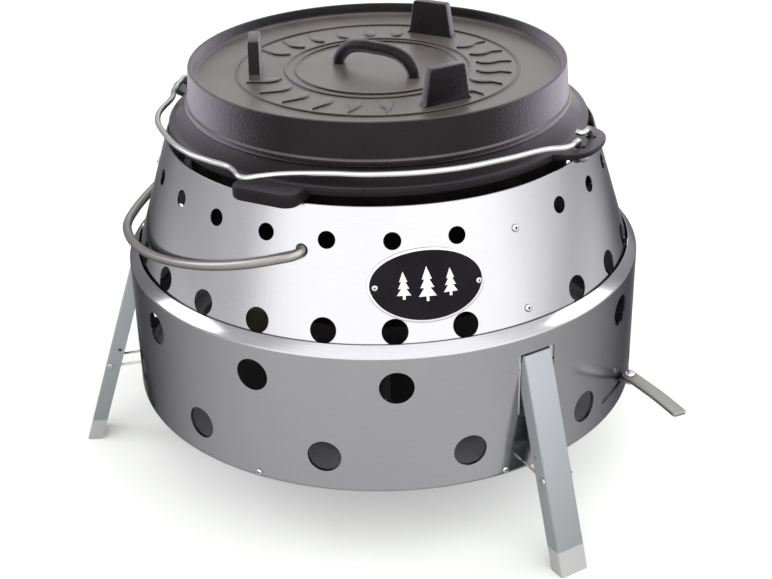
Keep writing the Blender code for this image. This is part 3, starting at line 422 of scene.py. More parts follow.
class Nodes:
    """Small helper to place and join shader nodes"""

    def __init__(self, tree):
        self.tree = tree

    def fill(self, node, values):
        """Link or set inputs of a node"""
        for key, value in values.items():
            if isinstance(value, bpy.types.NodeSocket):
                self.tree.links.new(value, node.inputs[key])
            else:
                node.inputs[key].default_value = value
        return node

    def add(self, kind, values=None, **settings):
        node = self.tree.nodes.new(kind)
        for key, value in settings.items():
            setattr(node, key, value)
        return self.fill(node, values or {})

    def math(self, operation, a, b=0.0):
        return self.add("ShaderNodeMath", {0: a, 1: b}, operation=operation).outputs[0]

    def times(self, a, b):
        return self.math("MULTIPLY", a, b)

    def plus(self, a, b):
        return self.math("ADD", a, b)

    def ramp(self, value, low, high, out_low=0.0, out_high=1.0, kind="SMOOTHSTEP"):
        return self.add("ShaderNodeMapRange", {
            "Value": value, "From Min": low, "From Max": high,
            "To Min": out_low, "To Max": out_high}, interpolation_type=kind).outputs["Result"]

    def noise(self, vector, scale, detail, roughness):
        return self.add("ShaderNodeTexNoise", {
            "Vector": vector, "Scale": scale, "Detail": detail,
            "Roughness": roughness}).outputs["Fac"]

    def coords(self):
        return self.add("ShaderNodeTexCoord").outputs

    def split(self, vector):
        return self.add("ShaderNodeSeparateXYZ", {0: vector}).outputs

    def grey(self, value):
        return self.add("ShaderNodeCombineXYZ", {0: value, 1: value, 2: value}).outputs[0]

    def mix(self, factor, a, b, blend="MIX"):
        """Mix of two colours"""
        return self.add("ShaderNodeMix", {0: factor, 6: a, 7: b}, data_type="RGBA",
                        blend_type=blend).outputs[2]

    def blend(self, factor, a, b):
        """Mix of two values"""
        return self.add("ShaderNodeMix", {0: factor, 2: a, 3: b}, data_type="FLOAT").outputs[0]

    def surface(self, tree, colour, roughness, amount):
        """Outputs of a surface group that is given its own values"""
        return self.add("ShaderNodeGroup", {"Color": (*colour, 1.0), "Roughness": roughness,
                        2: amount}, node_tree=tree).outputs


def group(name, inputs, outputs=("Color", "Roughness", "Height")):
    """New shader group with named sockets"""
    tree = bpy.data.node_groups.new(name, "ShaderNodeTree")
    sockets = [(label, "INPUT", value) for label, value in inputs.items()]
    for label, way, value in sockets + [(label, "OUTPUT", None) for label in outputs]:
        kind = "NodeSocketColor" if label == "Color" else "NodeSocketFloat"
        socket = tree.interface.new_socket(label, in_out=way, socket_type=kind)
        if value is not None:
            socket.default_value = value
    n = Nodes(tree)
    return tree, n, n.add("NodeGroupInput").outputs


def rolled_sheet_group():
    """Fine grain of rolled sheet that runs round the axis, with cloudy reflections"""
    tree, n, start = group("rolled_sheet",
                           {"Color": (0.5, 0.5, 0.52, 1), "Roughness": 0.2, "Grain": 1.0})
    where = n.coords()["Object"]
    x, y, z = n.split(where)
    turn = n.math("ARCTAN2", n.math("SUBTRACT", x, AXIS.x), n.math("SUBTRACT", y, AXIS.y))
    flat = n.add("ShaderNodeCombineXYZ", {0: n.times(turn, 0.2), 1: 0.0, 2: n.times(z, 30.0)})
    grain = n.noise(flat.outputs[0], 60.0, 3.0, 0.6)
    cloud = n.noise(where, 9.0, 2.0, 0.5)
    fine = n.noise(where, 900.0, 2.0, 0.6)
    shade = n.times(n.ramp(grain, 0.3, 0.7, 0.93, 1.05), n.ramp(cloud, 0.3, 0.7, 0.96, 1.03))
    plain = start["Color"]
    colour = n.mix(start["Grain"], plain, n.mix(1.0, plain, n.grey(shade), "MULTIPLY"))
    cloudy = n.times(n.ramp(cloud, 0.3, 0.7, -0.03, 0.04), start["Grain"])
    rough = n.plus(n.plus(start["Roughness"], cloudy), n.ramp(grain, 0.3, 0.7, -0.02, 0.03))
    height = n.plus(n.times(grain, 0.7), n.times(fine, 0.3))
    n.add("NodeGroupOutput", {"Color": colour, "Roughness": rough, "Height": height})
    return tree


def casting_group():
    """Sand cast skin: coarse grain, pits and high spots that show wear"""
    tree, n, start = group("sand_casting",
                           {"Color": (0.05, 0.04, 0.05, 1), "Roughness": 0.5, "Coarse": 1.0})
    where = n.coords()["Object"]
    coarse = n.noise(where, 520.0, 3.0, 0.6)
    fine = n.noise(where, 1300.0, 2.0, 0.6)
    patch = n.noise(where, 22.0, 3.0, 0.55)
    cells = n.add("ShaderNodeTexVoronoi", {"Vector": where, "Scale": 820.0}).outputs["Distance"]
    bumps = n.plus(n.times(coarse, 0.55), n.times(fine, 0.25))
    bumps = n.math("SUBTRACT", bumps, n.times(cells, 0.35))
    tone = n.ramp(n.plus(n.times(patch, 0.7), n.times(bumps, 0.5)), 0.25, 0.75, 0.7, 1.4)
    colour = n.mix(1.0, start["Color"], n.grey(tone), "MULTIPLY")
    rough = n.plus(start["Roughness"], n.ramp(patch, 0.3, 0.7, -0.07, 0.08))
    rough = n.plus(rough, n.ramp(bumps, 0.1, 0.6, -0.06, 0.06))
    height = n.times(bumps, start["Coarse"])
    n.add("NodeGroupOutput", {"Color": colour, "Roughness": rough, "Height": height})
    return tree


def upright_group():
    """Mask of the faces that stand upright above a height, which take the painted sheen"""
    tree, n, start = group("upright_faces", {"Lowest": 0.0}, ("Mask",))
    where = n.coords()
    steep = n.ramp(n.math("ABSOLUTE", n.split(where["Normal"])[2]), 0.3, 0.8, 1.0, 0.3)
    under = n.math("SUBTRACT", start["Lowest"], 0.001)
    above = n.ramp(n.split(where["Object"])[2], under, start["Lowest"])
    n.add("NodeGroupOutput", {"Mask": n.times(steep, above)})
    return tree


def shader_of(name):
    """New material with its helper and its shader"""
    mat = bpy.data.materials.new(name)
    mat.use_nodes = True
    return mat, Nodes(mat.node_tree), mat.node_tree.nodes["Principled BSDF"]


def coated(name, tree, colour, roughness, amount, metallic, depth):
    """Material made of one surface group, with its height as a bump"""
    mat, n, shader = shader_of(name)
    skin = n.surface(tree, colour, roughness, amount)
    bump = n.add("ShaderNodeBump", {"Height": skin["Height"], "Strength": 1.0,
                 "Distance": depth})
    n.fill(shader, {"Base Color": skin["Color"], "Roughness": skin["Roughness"],
                    "Normal": bump.outputs["Normal"], "Metallic": metallic})
    if metallic > 0.5:
        shader.inputs["Specular Tint"].default_value = (0.3, 0.3, 0.32, 1.0)
    return mat, n, shader, skin, bump


def make_materials():
    """All finishes, from the shared groups"""
    c = colours()
    sheet = rolled_sheet_group()
    cast = casting_group()
    upright = upright_group()
    # Shares of the steel's colour. The lighter copies are painted light on the inner pieces in the
    # drum's shaded inside, the darker copy is painted shade
    satin, steel, light, pale, dark = (
        tuple(share * v for v in c.steel) for share in (0.9, 1.0, 1.3, 1.8, 0.5))
    for key, name, colour, roughness, grain, metallic, depth in (
            ("drum", "drum_satin_steel", satin, 0.14, 0.6, 1.0, 0.00001),
            ("cone", "cone_polished_steel", steel, 0.17, 0.4, 1.0, 0.00001),
            # Painted light: lighter, less metallic copies of the steel, rougher too, for the
            # drum's shaded inside
            ("inside", "inner_sheet_painted_light", light, 0.5, 1.0, 0.45, 0.00003),
            ("base", "base_sheet_painted_light", pale, 0.5, 1.0, 0.4, 0.00003),
            # Painted shade: a darker copy of the steel with a rougher finish, for the air ring and
            # the cone's top edge
            ("shaded_steel", "shaded_steel_sheet", dark, 0.35, 1.0, 1.0, 0.00003),
            ("wire", "bright_wire", c.wire, 0.33, 0.3, 1.0, 0.00001),
            ("handle", "handle_wire", c.handle, 0.4, 0.3, 1.0, 0.00001),
            ("fixing", "rivet_steel", RIVET_STEEL, 0.26, 0.6, 1.0, 0.00002),
            # Painted shade for the rivets' sunk middle
            ("sunk", "rivet_hollow_painted_shade", RIVET_HOLLOW_SHADE, 0.55, 1.0, 1.0, 0.00003),
            ("grate", "grate_steel", GRATE_STEEL, 0.5, 1.0, 1.0, 0.0001)):
        MATERIALS[key] = coated(name, sheet, colour, roughness, grain, metallic, depth)[0]
    MATERIALS["leg"] = leg_material(sheet, c.leg)
    MATERIALS["lid"] = lid_material(cast, upright, c.iron, c.lid_top)
    # The pot's iron takes the painted sheen on its upright faces above the flange's top
    MATERIALS["pot"], n, shader, skin, bump = coated("pot_casting", cast, c.iron, 0.4, 0.8, 0.0,
                                                     0.0004)
    n.fill(shader, {"Base Color": painted_sheen_iron(n, shader, bump, skin["Color"], upright,
                                            FLANGE_TOP)})
    MATERIALS["badge"], n, shader = coated("badge_enamel", cast, c.badge, 0.3, 0.1, 0.0,
                                           0.00005)[:3]
    shader.inputs["Specular IOR Level"].default_value = 0.03


def leg_material(sheet, colour):
    """Satin sheet with painted shade that darkens it towards the ground, and a paler end that
    shows wear
    """
    mat, n, shader, skin, bump = coated("leg_satin_steel", sheet, colour, 0.3, 0.25, 0.3,
                                        0.00001)
    high = n.split(n.coords()["Object"])[2]
    foot = n.ramp(high, 0.0185, 0.0200, 1.0, 0.0)
    # Painted shade: the leg's colour darkens towards the ground
    painted_leg_shade = n.grey(n.ramp(high, 0.02, 0.15, 0.7, 1.0, "LINEAR"))
    painted_leg_shaded = n.mix(1.0, skin["Color"], painted_leg_shade, "MULTIPLY")
    n.fill(shader, {"Base Color": n.mix(foot, painted_leg_shaded, WORN_FOOT)})
    return mat


def painted_sheen_iron(n, shader, bump, colour, upright, lowest=0.0):
    """Colour with a painted pale sheen where an upright face turns away from the view, above a
    height
    """
    shader.inputs["Specular IOR Level"].default_value = 0.1
    facing = n.add("ShaderNodeLayerWeight", {"Blend": 0.5, "Normal": bump.outputs["Normal"]})
    mask = n.add("ShaderNodeGroup", {"Lowest": lowest}, node_tree=upright).outputs["Mask"]
    # Painted sheen: the pale colour grows as the face turns away from the view, a painted
    # highlight at the sides
    sheen_paint = n.times(n.ramp(facing.outputs["Facing"], 0.19, 0.75), mask)
    return n.mix(sheen_paint, colour, (*colours().sheen_paint, 1.0))


def lid_material(cast, upright, skirt, top):
    """Rough purple grey skirt, pale at its turned-away sides by a painted sheen, and a smoother
    brown grey plate whose lighter colour on up-facing faces is painted light
    """
    mat, n, shader, skin, bump = coated("lid_casting", cast, skirt, 0.4, 1.0, 0.0, 0.0004)
    # The plate's surface: smoother, and in a lighter colour that is painted light
    smooth = n.surface(cast, top, 0.42, 0.3)
    where = n.coords()
    plate = LID_Z + LID_PLATE
    low = n.ramp(n.split(where["Object"])[2], plate + 0.006, plate + 0.010, 1.0, 0.0)
    # Up-facing faces of the plate, with a smoother coated finish; their lighter brown grey is
    # painted light
    mask = n.times(n.ramp(n.split(where["Normal"])[2], 0.35, 0.8), low)
    # Skirt colour with the painted sheen at its turned-away sides
    painted_sheen = painted_sheen_iron(n, shader, bump, skin["Color"], upright)
    n.fill(bump, {"Height": n.blend(mask, skin["Height"], smooth["Height"])})
    n.fill(shader, {"Base Color": n.mix(mask, painted_sheen, smooth["Color"]),
                    "Roughness": n.blend(mask, skin["Roughness"], smooth["Roughness"]),
                    "Coat Weight": n.times(mask, 0.6), "Coat Roughness": 0.4})
    return mat


def finish_node(name, finish):
    """Give a CAD node that is kept its finish"""
    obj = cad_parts[name]
    obj.data.materials.clear()
    obj.data.materials.append(MATERIALS[finish])


def build_drum():
    """Drum wall with a sloped shoulder, a flange below, holes, windows and slot"""
    s = sizes()
    r = s.drum_radius
    t = s.sheet
    mid = r - SHOULDER_R
    low = r - CORNER_R
    low_z = DRUM_BOTTOM + CORNER_R
    flange = r - FLANGE_IN
    bend = r - SHOULDER_BEND
    bend_z = WALL_TOP - SHOULDER_BEND * math.tan(math.pi / 8)
    lip = SHOULDER_BEND * 0.15
    profile = arc(mid + lip * 0.4, LIP_Z - lip, lip, 110, 45, 4)
    profile += arc(bend, bend_z, SHOULDER_BEND, 45, 0, 7)
    profile += [(r, bend_z - 0.0006), (r, low_z + 0.0006)]
    profile += arc(low, low_z, CORNER_R, 0, -90, 6)
    profile += [(flange, DRUM_BOTTOM), (flange, DRUM_BOTTOM + t)]
    profile += arc(low, low_z, CORNER_R - t, -90, 0, 5)
    profile += arc(bend, bend_z, SHOULDER_BEND - t, 0, 45, 5)
    profile += [(mid, LIP_Z - t * 1.5)]
    bm = lathe(profile, s.steps)
    off = math.degrees(math.asin(STAY_HALF / r))
    holes = [(column_az(k), HIGH_ROW, s.drum_hole) for k in range(0, 24, 2)
             if k not in LEG_COLUMNS]
    holes += [(column_az(k), LOW_ROW, s.drum_hole) for k in range(1, 24, 2)]
    holes += [(column_az(k) + side, STAY_Z, STAY_HOLE) for k in LEG_COLUMNS
              for side in (off, -off)]
    holes += [(az, SCREW_Z, SCREW_HOLE) for az in SCREW_AZ]
    cuts = [radial_rods([(az, r, z, d, 0.0) for az, z, d in holes])]
    openings = [(LEG_WINDOW, 0.01, column_az(k)) for k in LEG_COLUMNS]
    for shape, deep, az in openings + [(AIR_SLOT, 0.012, SLOT_AZ)]:
        block = moved(prism(rounded(*shape), -deep, deep), UPRIGHT)
        cuts.append(moved(block, seat_matrix(az, r, 0.0)))
    piece("drum_shell", combine(bm, joined(*cuts)), "drum", "drum", ["lower_shell"],
          sharp=WALL_SHARP)


def build_cone():
    """Polished cone with two rows of holes and its guiding hem"""
    s = sizes()
    hem_r = s.drum_radius - SHOULDER_R - GAP
    wall = s.sheet * math.hypot(1.0, s.cone_slope)
    hem = CONE_BOTTOM + 0.001
    flare = hem + 0.0006
    edge = cone_r(CONE_TOP)
    profile = [
        (edge - 0.0002, CONE_TOP), (edge + 0.0001, CONE_TOP - 0.0003),
        (cone_r(CONE_TOP - 0.0009), CONE_TOP - 0.0009), (cone_r(flare), flare), (hem_r, hem),
        (hem_r, CONE_BOTTOM), (hem_r - s.sheet, CONE_BOTTOM), (hem_r - s.sheet, hem - 0.0005),
        (cone_r(flare) - wall, flare + 0.0002), (edge - wall + 0.0002, CONE_TOP),
    ]
    bm = lathe(profile, s.steps)
    lean = math.degrees(math.atan(s.cone_slope))
    supports = [(rise, SUPPORT_HOLE) for rise in SUPPORT_RISES]
    holes = [(column_az(k), rise, d) for k in range(24)
             for rise, d in (supports if k in LEG_COLUMNS else CONE_ROWS)]
    holes += [(az, rise, BADGE_HOLE) for az, rise in BADGE_RIVETS]
    cuts = radial_rods([(az, cone_r(LIP_Z + rise), LIP_Z + rise, d, lean)
                        for az, rise, d in holes])
    wall_r = cone_r(LIP_Z + HANDLE_RISE)
    chord = wall_r - HANDLE_INSET
    reach = math.sqrt(wall_r ** 2 - chord ** 2)
    a = math.radians(HANDLE_AZ)
    along = Vector((math.cos(a), math.sin(a), 0))
    middle = polar(HANDLE_AZ, chord, LIP_Z + HANDLE_RISE)
    bores = [(middle + along * side * (reach - 0.012), middle + along * side * (reach + 0.012),
              s.handle_wire / 2 + 0.0006) for side in (-1, 1)]
    bm = combine(bm, joined(cuts, rods(bores)))
    # The cone's top edge takes the darker copy of the steel, painted shade in the gap under the
    # pot's flange
    for face in bm.faces:
        face.material_index = int(face.calc_center_median().z > CONE_TOP - 0.0004)
    piece("cone_shell", bm, "cone", "cone", ["upper_cone"], sharp=WALL_SHARP,
          second="shaded_steel")


def build_inner_nodes():
    """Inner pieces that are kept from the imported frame"""
    # Painted light: the base plate, grid supports and leg brackets take lighter copies of the
    # steel in the drum's shaded inside
    finish_node("base_plate", "base")
    # Painted shade: the air ring takes a darker copy of the steel
    finish_node("air_ring", "shaded_steel")
    finish_node("coal_grate", "grate")
    for i in (1, 2, 3):
        finish_node("grid_support_%d" % i, "inside")
        finish_node("leg_bracket_%d" % i, "inside")
        finish_node("leg_pin_%d" % i, "fixing")


def rivet(r, h, shank, length):
    """Blind rivet: a domed ring, with a sunk middle that has the second finish, a dark colour
    painted as the shade of its hollow
    """
    bm = lathe([
        (0.0, h * 0.25), (r * 0.26, h * 0.25), (r * 0.30, h * 0.3), (r * 0.34, h * 0.9),
        (r * 0.42, h), (r * 0.62, h * 0.96), (r * 0.84, h * 0.66), (r * 0.97, h * 0.25),
        (r, h * 0.1), (r, 0.0), (shank, 0.0), (shank, -length), (0.0, -length),
    ], 32, closed=False)
    for face in bm.faces:
        middle = face.calc_center_median()
        if middle.z > 0.0 and math.hypot(middle.x, middle.y) < 0.33 * r:
            face.material_index = 1
    return bm


def build_rivets():
    """Rivets of the supports and the badge, and the screws of the base"""
    supports = [(column_az(k), rise) for k in LEG_COLUMNS for rise in SUPPORT_RISES]
    for kind, shape, body, places in (
            ("support_rivet", (0.003, 0.0012, 0.00135, 0.0042), "cone",
             [cone_matrix(az, LIP_Z + rise, GAP) for az, rise in supports]),
            ("badge_rivet", (0.0023, 0.0009, 0.001, 0.0032), "cone",
             [cone_matrix(az, LIP_Z + rise, GAP * 2.2 + 0.001) for az, rise in BADGE_RIVETS]),
            ("base_screw", (0.0026, 0.0014, 0.0012, 0.0045), "drum",
             [seat_matrix(az, sizes().drum_radius + GAP, SCREW_Z, 0.0) for az in SCREW_AZ])):
        for i, place in enumerate(places, 1):
            piece("%s_head_%d" % (kind, i), rivet(*shape), "fixing", body,
                  ["%s_%d" % (kind, i)], place, second="sunk")


def on_cone(bm, middle_z, az, off):
    """Wrap a flat piece, drawn round its middle, on the cone's outer face"""
    lean = math.atan(sizes().cone_slope)
    for v in bm.verts:
        x, y, h = v.co
        z = LIP_Z + middle_z + y * math.cos(lean)
        r = cone_r(z)
        turn = az + math.degrees(x / r)
        v.co = polar(turn, r + (off + h) * math.cos(lean), z + (off + h) * math.sin(lean))
    return bm


def build_badge():
    """Oval plate with a bright rolled rim, a sunk dark field and a row of fir trees"""
    plate = prism(oval(*BADGE_OVAL), 0.0, 0.001, 0.0004)
    top = max(plate.faces, key=lambda f: f.calc_center_median().z * 100 + f.calc_area())
    bmesh.ops.inset_region(plate, faces=[top], thickness=0.0014, depth=0.0)
    bmesh.ops.inset_region(plate, faces=[top], thickness=0.0003, depth=-0.0003)
    top.material_index = 1
    parts = []
    for x, size in ((-0.017, 0.8), (0.0, 1.0), (0.017, 0.8)):
        for row in range(3):
            w = 0.0065 * size * (1.0 - 0.22 * row)
            y = (-0.008 + 0.0062 * row) * size
            parts.append(prism([(x - w, y), (x + w, y), (x, y + 0.0095 * size)],
                               0.00055, 0.00095))
        foot = -0.0115 * size
        head = -0.007 * size
        parts.append(prism([(x - 0.001, foot), (x + 0.001, foot), (x + 0.001, head),
                            (x - 0.001, head)], 0.00055, 0.0009))
    off = GAP * 1.2
    bmesh.ops.triangulate(plate, faces=[f for f in plate.faces if len(f.verts) > 4])
    piece("badge_oval", on_cone(plate, BADGE_RISE, BADGE_AZ, off), "fixing", "cone",
          ["badge_plate"], second="badge")
    piece("badge_trees", on_cone(joined(*parts), BADGE_RISE, BADGE_AZ, off), "fixing", "cone",
          ())


def build_handle():
    """Carry handle of thick wire hooked into the cone"""
    wall_r = cone_r(LIP_Z + HANDLE_RISE)
    tilt = math.radians(HANDLE_TILT)
    half = [(x, -d * math.cos(tilt), -d * math.sin(tilt)) for x, d in HANDLE_PATH]
    bm = wire(half + mirrored(half[:-1]), sizes().handle_wire / 2, 8, 8)
    piece("carry_handle_wire", bm, "handle", "handle", ["carry_handle"],
          seat_matrix(HANDLE_AZ, wall_r - HANDLE_INSET, LIP_Z + HANDLE_RISE))


def leg_out(z):
    """Radius of a leg's outer face at a height"""
    return sizes().drum_radius + LEG_SPREAD - (LEG_RUN / LEG_TOP) * z


def build_legs():
    """Folding legs bent from sheet, their stays and hook pins"""
    s = sizes()
    angle = math.atan(LEG_RUN / LEG_TOP)
    pivot_r = s.drum_radius - PIVOT_IN
    deep = LEG_DEPTH / math.cos(angle)
    web = s.sheet / math.cos(angle)
    half = s.leg_width / 2
    wall_r = s.drum_radius - s.sheet / 2

    def local(r, z):
        return (r - pivot_r, z - PIVOT_Z)

    side = [local(leg_out(LEG_TOP), LEG_TOP), local(leg_out(0.0), 0.0),
            local(leg_out(0.0) - deep, 0.0), local(leg_out(0.145) - deep, 0.145)]
    side += arc(0.0, 0.0, 0.0037, 200, 90, 14)
    side += [local(leg_out(LEG_TOP) - web * 1.6, LEG_TOP)]
    hollow = [local(leg_out(-0.01) - web, -0.01), local(leg_out(0.18) - web, 0.18),
              local(s.drum_radius - 0.03, 0.18), local(s.drum_radius - 0.03, -0.01)]
    pin = local(wall_r + STAY_LENGTH + 0.0031 * math.cos(angle),
                STAY_Z - STAY_DROP + 0.0031 * math.sin(angle))
    spare = local(s.drum_radius + 0.0174, 0.0891)
    reach = half + 0.004
    bores = [((x, y, -reach), (x, y, reach), r) for x, y, r in
             ((0.0, 0.0, 0.0016), (*pin, 0.00185), (*spare, 0.0015))]
    bar = [(-STAY_HALF, f) for f in (0.0, 0.3, 0.65, 0.88)]
    bar += [(-STAY_HALF + 0.0009, 0.967), (-STAY_HALF + 0.003, 1.0), (0.0, 1.0)]
    lay = [(-STAY_HALF, 0.003, 0.003 * (STAY_DROP / STAY_LENGTH))]
    lay += [(x, -STAY_LENGTH * f, -STAY_DROP * f) for x, f in bar]
    lay += mirrored(lay[:-1])
    head = 0.00275
    length = s.leg_width + 2 * GAP
    end = [(head, 0.0), (head, 0.0004), (head * 0.92, 0.0008), (head * 0.7, 0.001), (0.0, 0.001)]
    profile = end[::-1] + [(0.0015, 0.0), (0.0015, -length)]
    profile += [(r, -length - h) for r, h in end]
    across = Matrix.Rotation(math.pi / 2, 4, "Y") @ Matrix.Translation((0, 0, length / 2))
    for i, k in enumerate(LEG_COLUMNS, 1):
        az = column_az(k)
        leg = prism(side, -half, half)
        soften(leg, [e for e in leg.edges
                     if abs(e.verts[0].co.z - e.verts[1].co.z) < 0.001
                     and abs(e.verts[0].co.y - e.verts[1].co.y) > 0.1
                     and e.verts[0].co.x + e.verts[1].co.x > 0.05], 0.0016, 5)
        leg = combine(leg, prism(hollow, -half + s.sheet, half - s.sheet))
        leg = moved(combine(leg, rods(bores, 32)), SIDEWAYS)
        piece("leg_channel_%d" % i, leg, "leg", "leg_body_%d" % i, ["leg_%d" % i],
              seat_matrix(az, pivot_r, PIVOT_Z))
        piece("leg_stay_wire_%d" % i, wire(lay, 0.001, 5, 6), "fixing", "stay_body_%d" % i,
              ["leg_stay_%d" % i], seat_matrix(az, wall_r, STAY_Z))
        place = seat_matrix(az, pivot_r + pin[0], PIVOT_Z + pin[1]) @ across
        piece("hook_pin_%d" % i, lathe(profile, 28, closed=False), "fixing",
              "leg_body_%d" % i, ["stay_pin_%d" % i], place)


def build_lever():
    """Curved air lever with its bolt"""
    r = sizes().drum_radius
    tab_az = SLOT_AZ + math.degrees(math.asin(TAB_ASIDE / r))
    low = TAB_Z + 0.0015 + GAP
    path = [Vector((x, -y)) for x, y in LEVER_PATH]
    fine = []
    for i in range(len(path) - 1):
        p0 = path[max(i - 1, 0)]
        p3 = path[min(i + 2, len(path) - 1)]
        for j in range(6):
            t = j / 6
            a = 2 * path[i] + (path[i + 1] - p0) * t
            b = (2 * p0 - 5 * path[i] + 4 * path[i + 1] - p3) * t * t
            c = (3 * path[i] - p0 - 3 * path[i + 1] + p3) * t ** 3
            fine.append((a + b + c) / 2)
    fine.append(path[-1])
    left = []
    right = []
    for i, point in enumerate(fine):
        run = (fine[min(i + 1, len(fine) - 1)] - fine[max(i - 1, 0)]).normalized()
        across = Vector((-run.y, run.x)) * LEVER_HALF
        left.append(point + across)
        right.append(point - across)
    run = (fine[1] - fine[0]).normalized()
    facing = math.degrees(math.atan2(run.y, run.x))
    back = (fine[-1] - fine[-2]).normalized() * 0.0016
    end = [right[-1] - back, right[-1] + (fine[-1] - right[-1]) * 0.25,
           left[-1] + (fine[-1] - left[-1]) * 0.25, left[-1] - back]
    outline = arc(0.0, 0.0, LEVER_HALF, facing + 90, facing + 270, 24)
    outline += [tuple(p) for p in right[2:-1] + end + left[-2:1:-1]]
    bm = prism(outline, -0.0015, 0.0015, 0.0005, 3)
    bm = combine(bm, rods([((0, 0, -0.01), (0, 0, 0.01), 0.00185)], 32))
    piece("air_lever_bar", bm, "handle", "lever", ["air_lever"],
          seat_matrix(tab_az, r + LEVER_OUT, low + 0.0015))
    length = GAP + 0.003 + GAP + 0.0015 + GAP
    profile = [
        (0.0, 0.0026), (0.0022, 0.0026), (0.0034, 0.0022), (0.0042, 0.0012), (0.0045, 0.0003),
        (0.0045, 0.0), (0.0015, 0.0), (0.0015, -length), (0.0038, -length),
        (0.0038, -length - 0.0022), (0.0034, -length - 0.0026), (0.0, -length - 0.0026),
    ]
    piece("lever_bolt_head", lathe(profile, 36, closed=False), "fixing", "ring",
          ["lever_bolt"], seat_matrix(tab_az, r + LEVER_OUT, low + 0.003 + GAP))


def lug(half, out, root, curve):
    """Outline of a lug towards minus Y: two points at its root, then its curved end"""
    points = [(-half - 0.001, -out + root[0]), (-half, -out + root[1])]
    points += [(-half * f, -out + d) for f, d in curve]
    return points + mirrored(points[:-1] if curve[-1][0] == 0.0 else points)


def build_pot():
    """Camp oven body with flange, drilled ears and two tabs"""
    flange = FLANGE_TOP - 0.006
    bottom = FLANGE_TOP - POT_DEPTH
    edge = FLANGE_R - 0.0018
    profile = [(0.0, bottom + 0.006), (0.134, bottom + 0.006)]
    profile += arc(POT_FOOT_R, bottom + 0.012, 0.006, -90, 0, 6)
    profile += [
        (0.1455, POT_RIM_Z - 0.0008), (0.1464, POT_RIM_Z),
        (POT_RIM_R - 0.0012, POT_RIM_Z), (POT_RIM_R, POT_RIM_Z - 0.0012),
        (POT_RIM_R + 0.0006, POT_RIM_Z - 0.0022), (FLANGE_R - 0.0062, FLANGE_TOP + 0.0006),
        (FLANGE_R - 0.0050, FLANGE_TOP),
    ]
    profile += arc(edge, FLANGE_TOP - 0.0018, 0.0018, 90, 0, 5)
    profile += arc(edge, flange + 0.0018, 0.0018, 0, -90, 5)
    profile += [(0.157, flange), (0.155, flange - 0.002)]
    profile += arc(POT_FOOT_R, bottom + 0.012, 0.012, 0, -90, 9)
    profile += [(0.0, bottom)]
    bm = lathe(profile, sizes().pot_steps, closed=False)
    ear_outline = lug(EAR_HALF, EAR_OUT, (0.036, 0.024), EAR_CURVE)
    bores = [((x, -EAR_HOLE_R, FLANGE_TOP - 0.02), (x, -EAR_HOLE_R, FLANGE_TOP + 0.01), 0.004)
             for x in (-EAR_HOLE_OFF, EAR_HOLE_OFF)]
    extras = []
    for az in EAR_AZ:
        ear = prism(ear_outline, FLANGE_TOP - 0.0043, FLANGE_TOP - GAP, 0.001, 3)
        extras.append(moved(combine(ear, rods(bores, 32)), turned(az)))
    tab_outline = lug(TAB_HALF, TAB_OUT, (0.0379, 0.009), TAB_CURVE)
    for az in TAB_AZS:
        tab = prism(tab_outline, CONE_TOP + GAP, CONE_TOP + GAP + 0.010, 0.0018, 4)
        extras.append(moved(tab, turned(az)))
    piece("pot_body_casting", combine(bm, joined(*extras), "UNION"), "pot", "pot_body", ["pot"],
          Matrix.Translation((POT_X, 0, 0)))


def bail_end(side):
    """Almost closed ring of the bail in an ear, and the wire that leads to it"""
    ring = EAR_HOLE_OFF
    drop = 0.0 if side > 0 else BAIL_SAG
    points = [(-ring - 0.0185, ring - 0.0025 - drop, -0.0012),
              (-ring - 0.01, ring - 0.0022 - drop * 0.6, -0.0006),
              (-ring - 0.005, ring - 0.0026 - drop * 0.2, 0.0),
              (-ring - 0.0017, ring - 0.0047, 0.0)]
    for i in range(10):
        a = math.radians(-80 - 32.5 * i)
        points.append((ring * math.sin(a), ring * math.cos(a), 0.0))
    points += [(-ring + 0.0063, ring - 0.0007, -0.0016)]
    points += [(-ring + 0.0061, ring - 0.0005, -0.0058)]
    turn = turned(EAR_AZ[0 if side > 0 else 1])
    return [turn @ Vector((side * x, -(EAR_HOLE_R + out), z)) for x, z, out in points]


def build_bail():
    """Wire bail that lies on the pot's tab, with a ring at each ear"""
    path = bail_end(1)[::-1]
    for az, beyond, rise in reversed(BAIL_ARC):
        p = polar(az, FLANGE_R + beyond, FLANGE_TOP + rise - BAIL_Z)
        p.x -= POT_X
        path.append(p)
    piece("bail_wire", wire(path + bail_end(-1), sizes().bail_wire / 2), "wire", "bail_body",
          ["bail"], Matrix.Translation((POT_X, 0, BAIL_Z)))


def relief():
    """Raised rings with a belt of flames between them, cast into the lid's plate"""
    parts = []
    low = LID_PLATE - 0.001
    high = LID_PLATE + 0.0013
    bend = LID_PLATE + 0.0008
    for r, w in ((0.0735, 0.0012), (0.0655, 0.0008), (0.1125, 0.0012)):
        profile = [(r - w, low), (r - w * 0.8, bend), (r - w * 0.3, high), (r + w * 0.3, high),
                   (r + w * 0.8, bend), (r + w, low)]
        parts.append(lathe(profile, sizes().pot_steps))
    outline = [
        (0.0, -0.079), (0.0042, -0.084), (0.0052, -0.0905), (0.0030, -0.0965),
        (0.0012, -0.1010), (-0.0018, -0.1075), (-0.0010, -0.0985), (-0.0035, -0.0945),
        (-0.0052, -0.0890), (-0.0042, -0.0835),
    ]
    for i in range(24):
        az = 15.0 * i + 4.0
        if min(abs((az - leg + 180) % 360 - 180) for leg in LID_LEG_AZ) >= 16.0:
            parts.append(moved(prism(outline, low, high, 0.0005), turned(az)))
    return parts


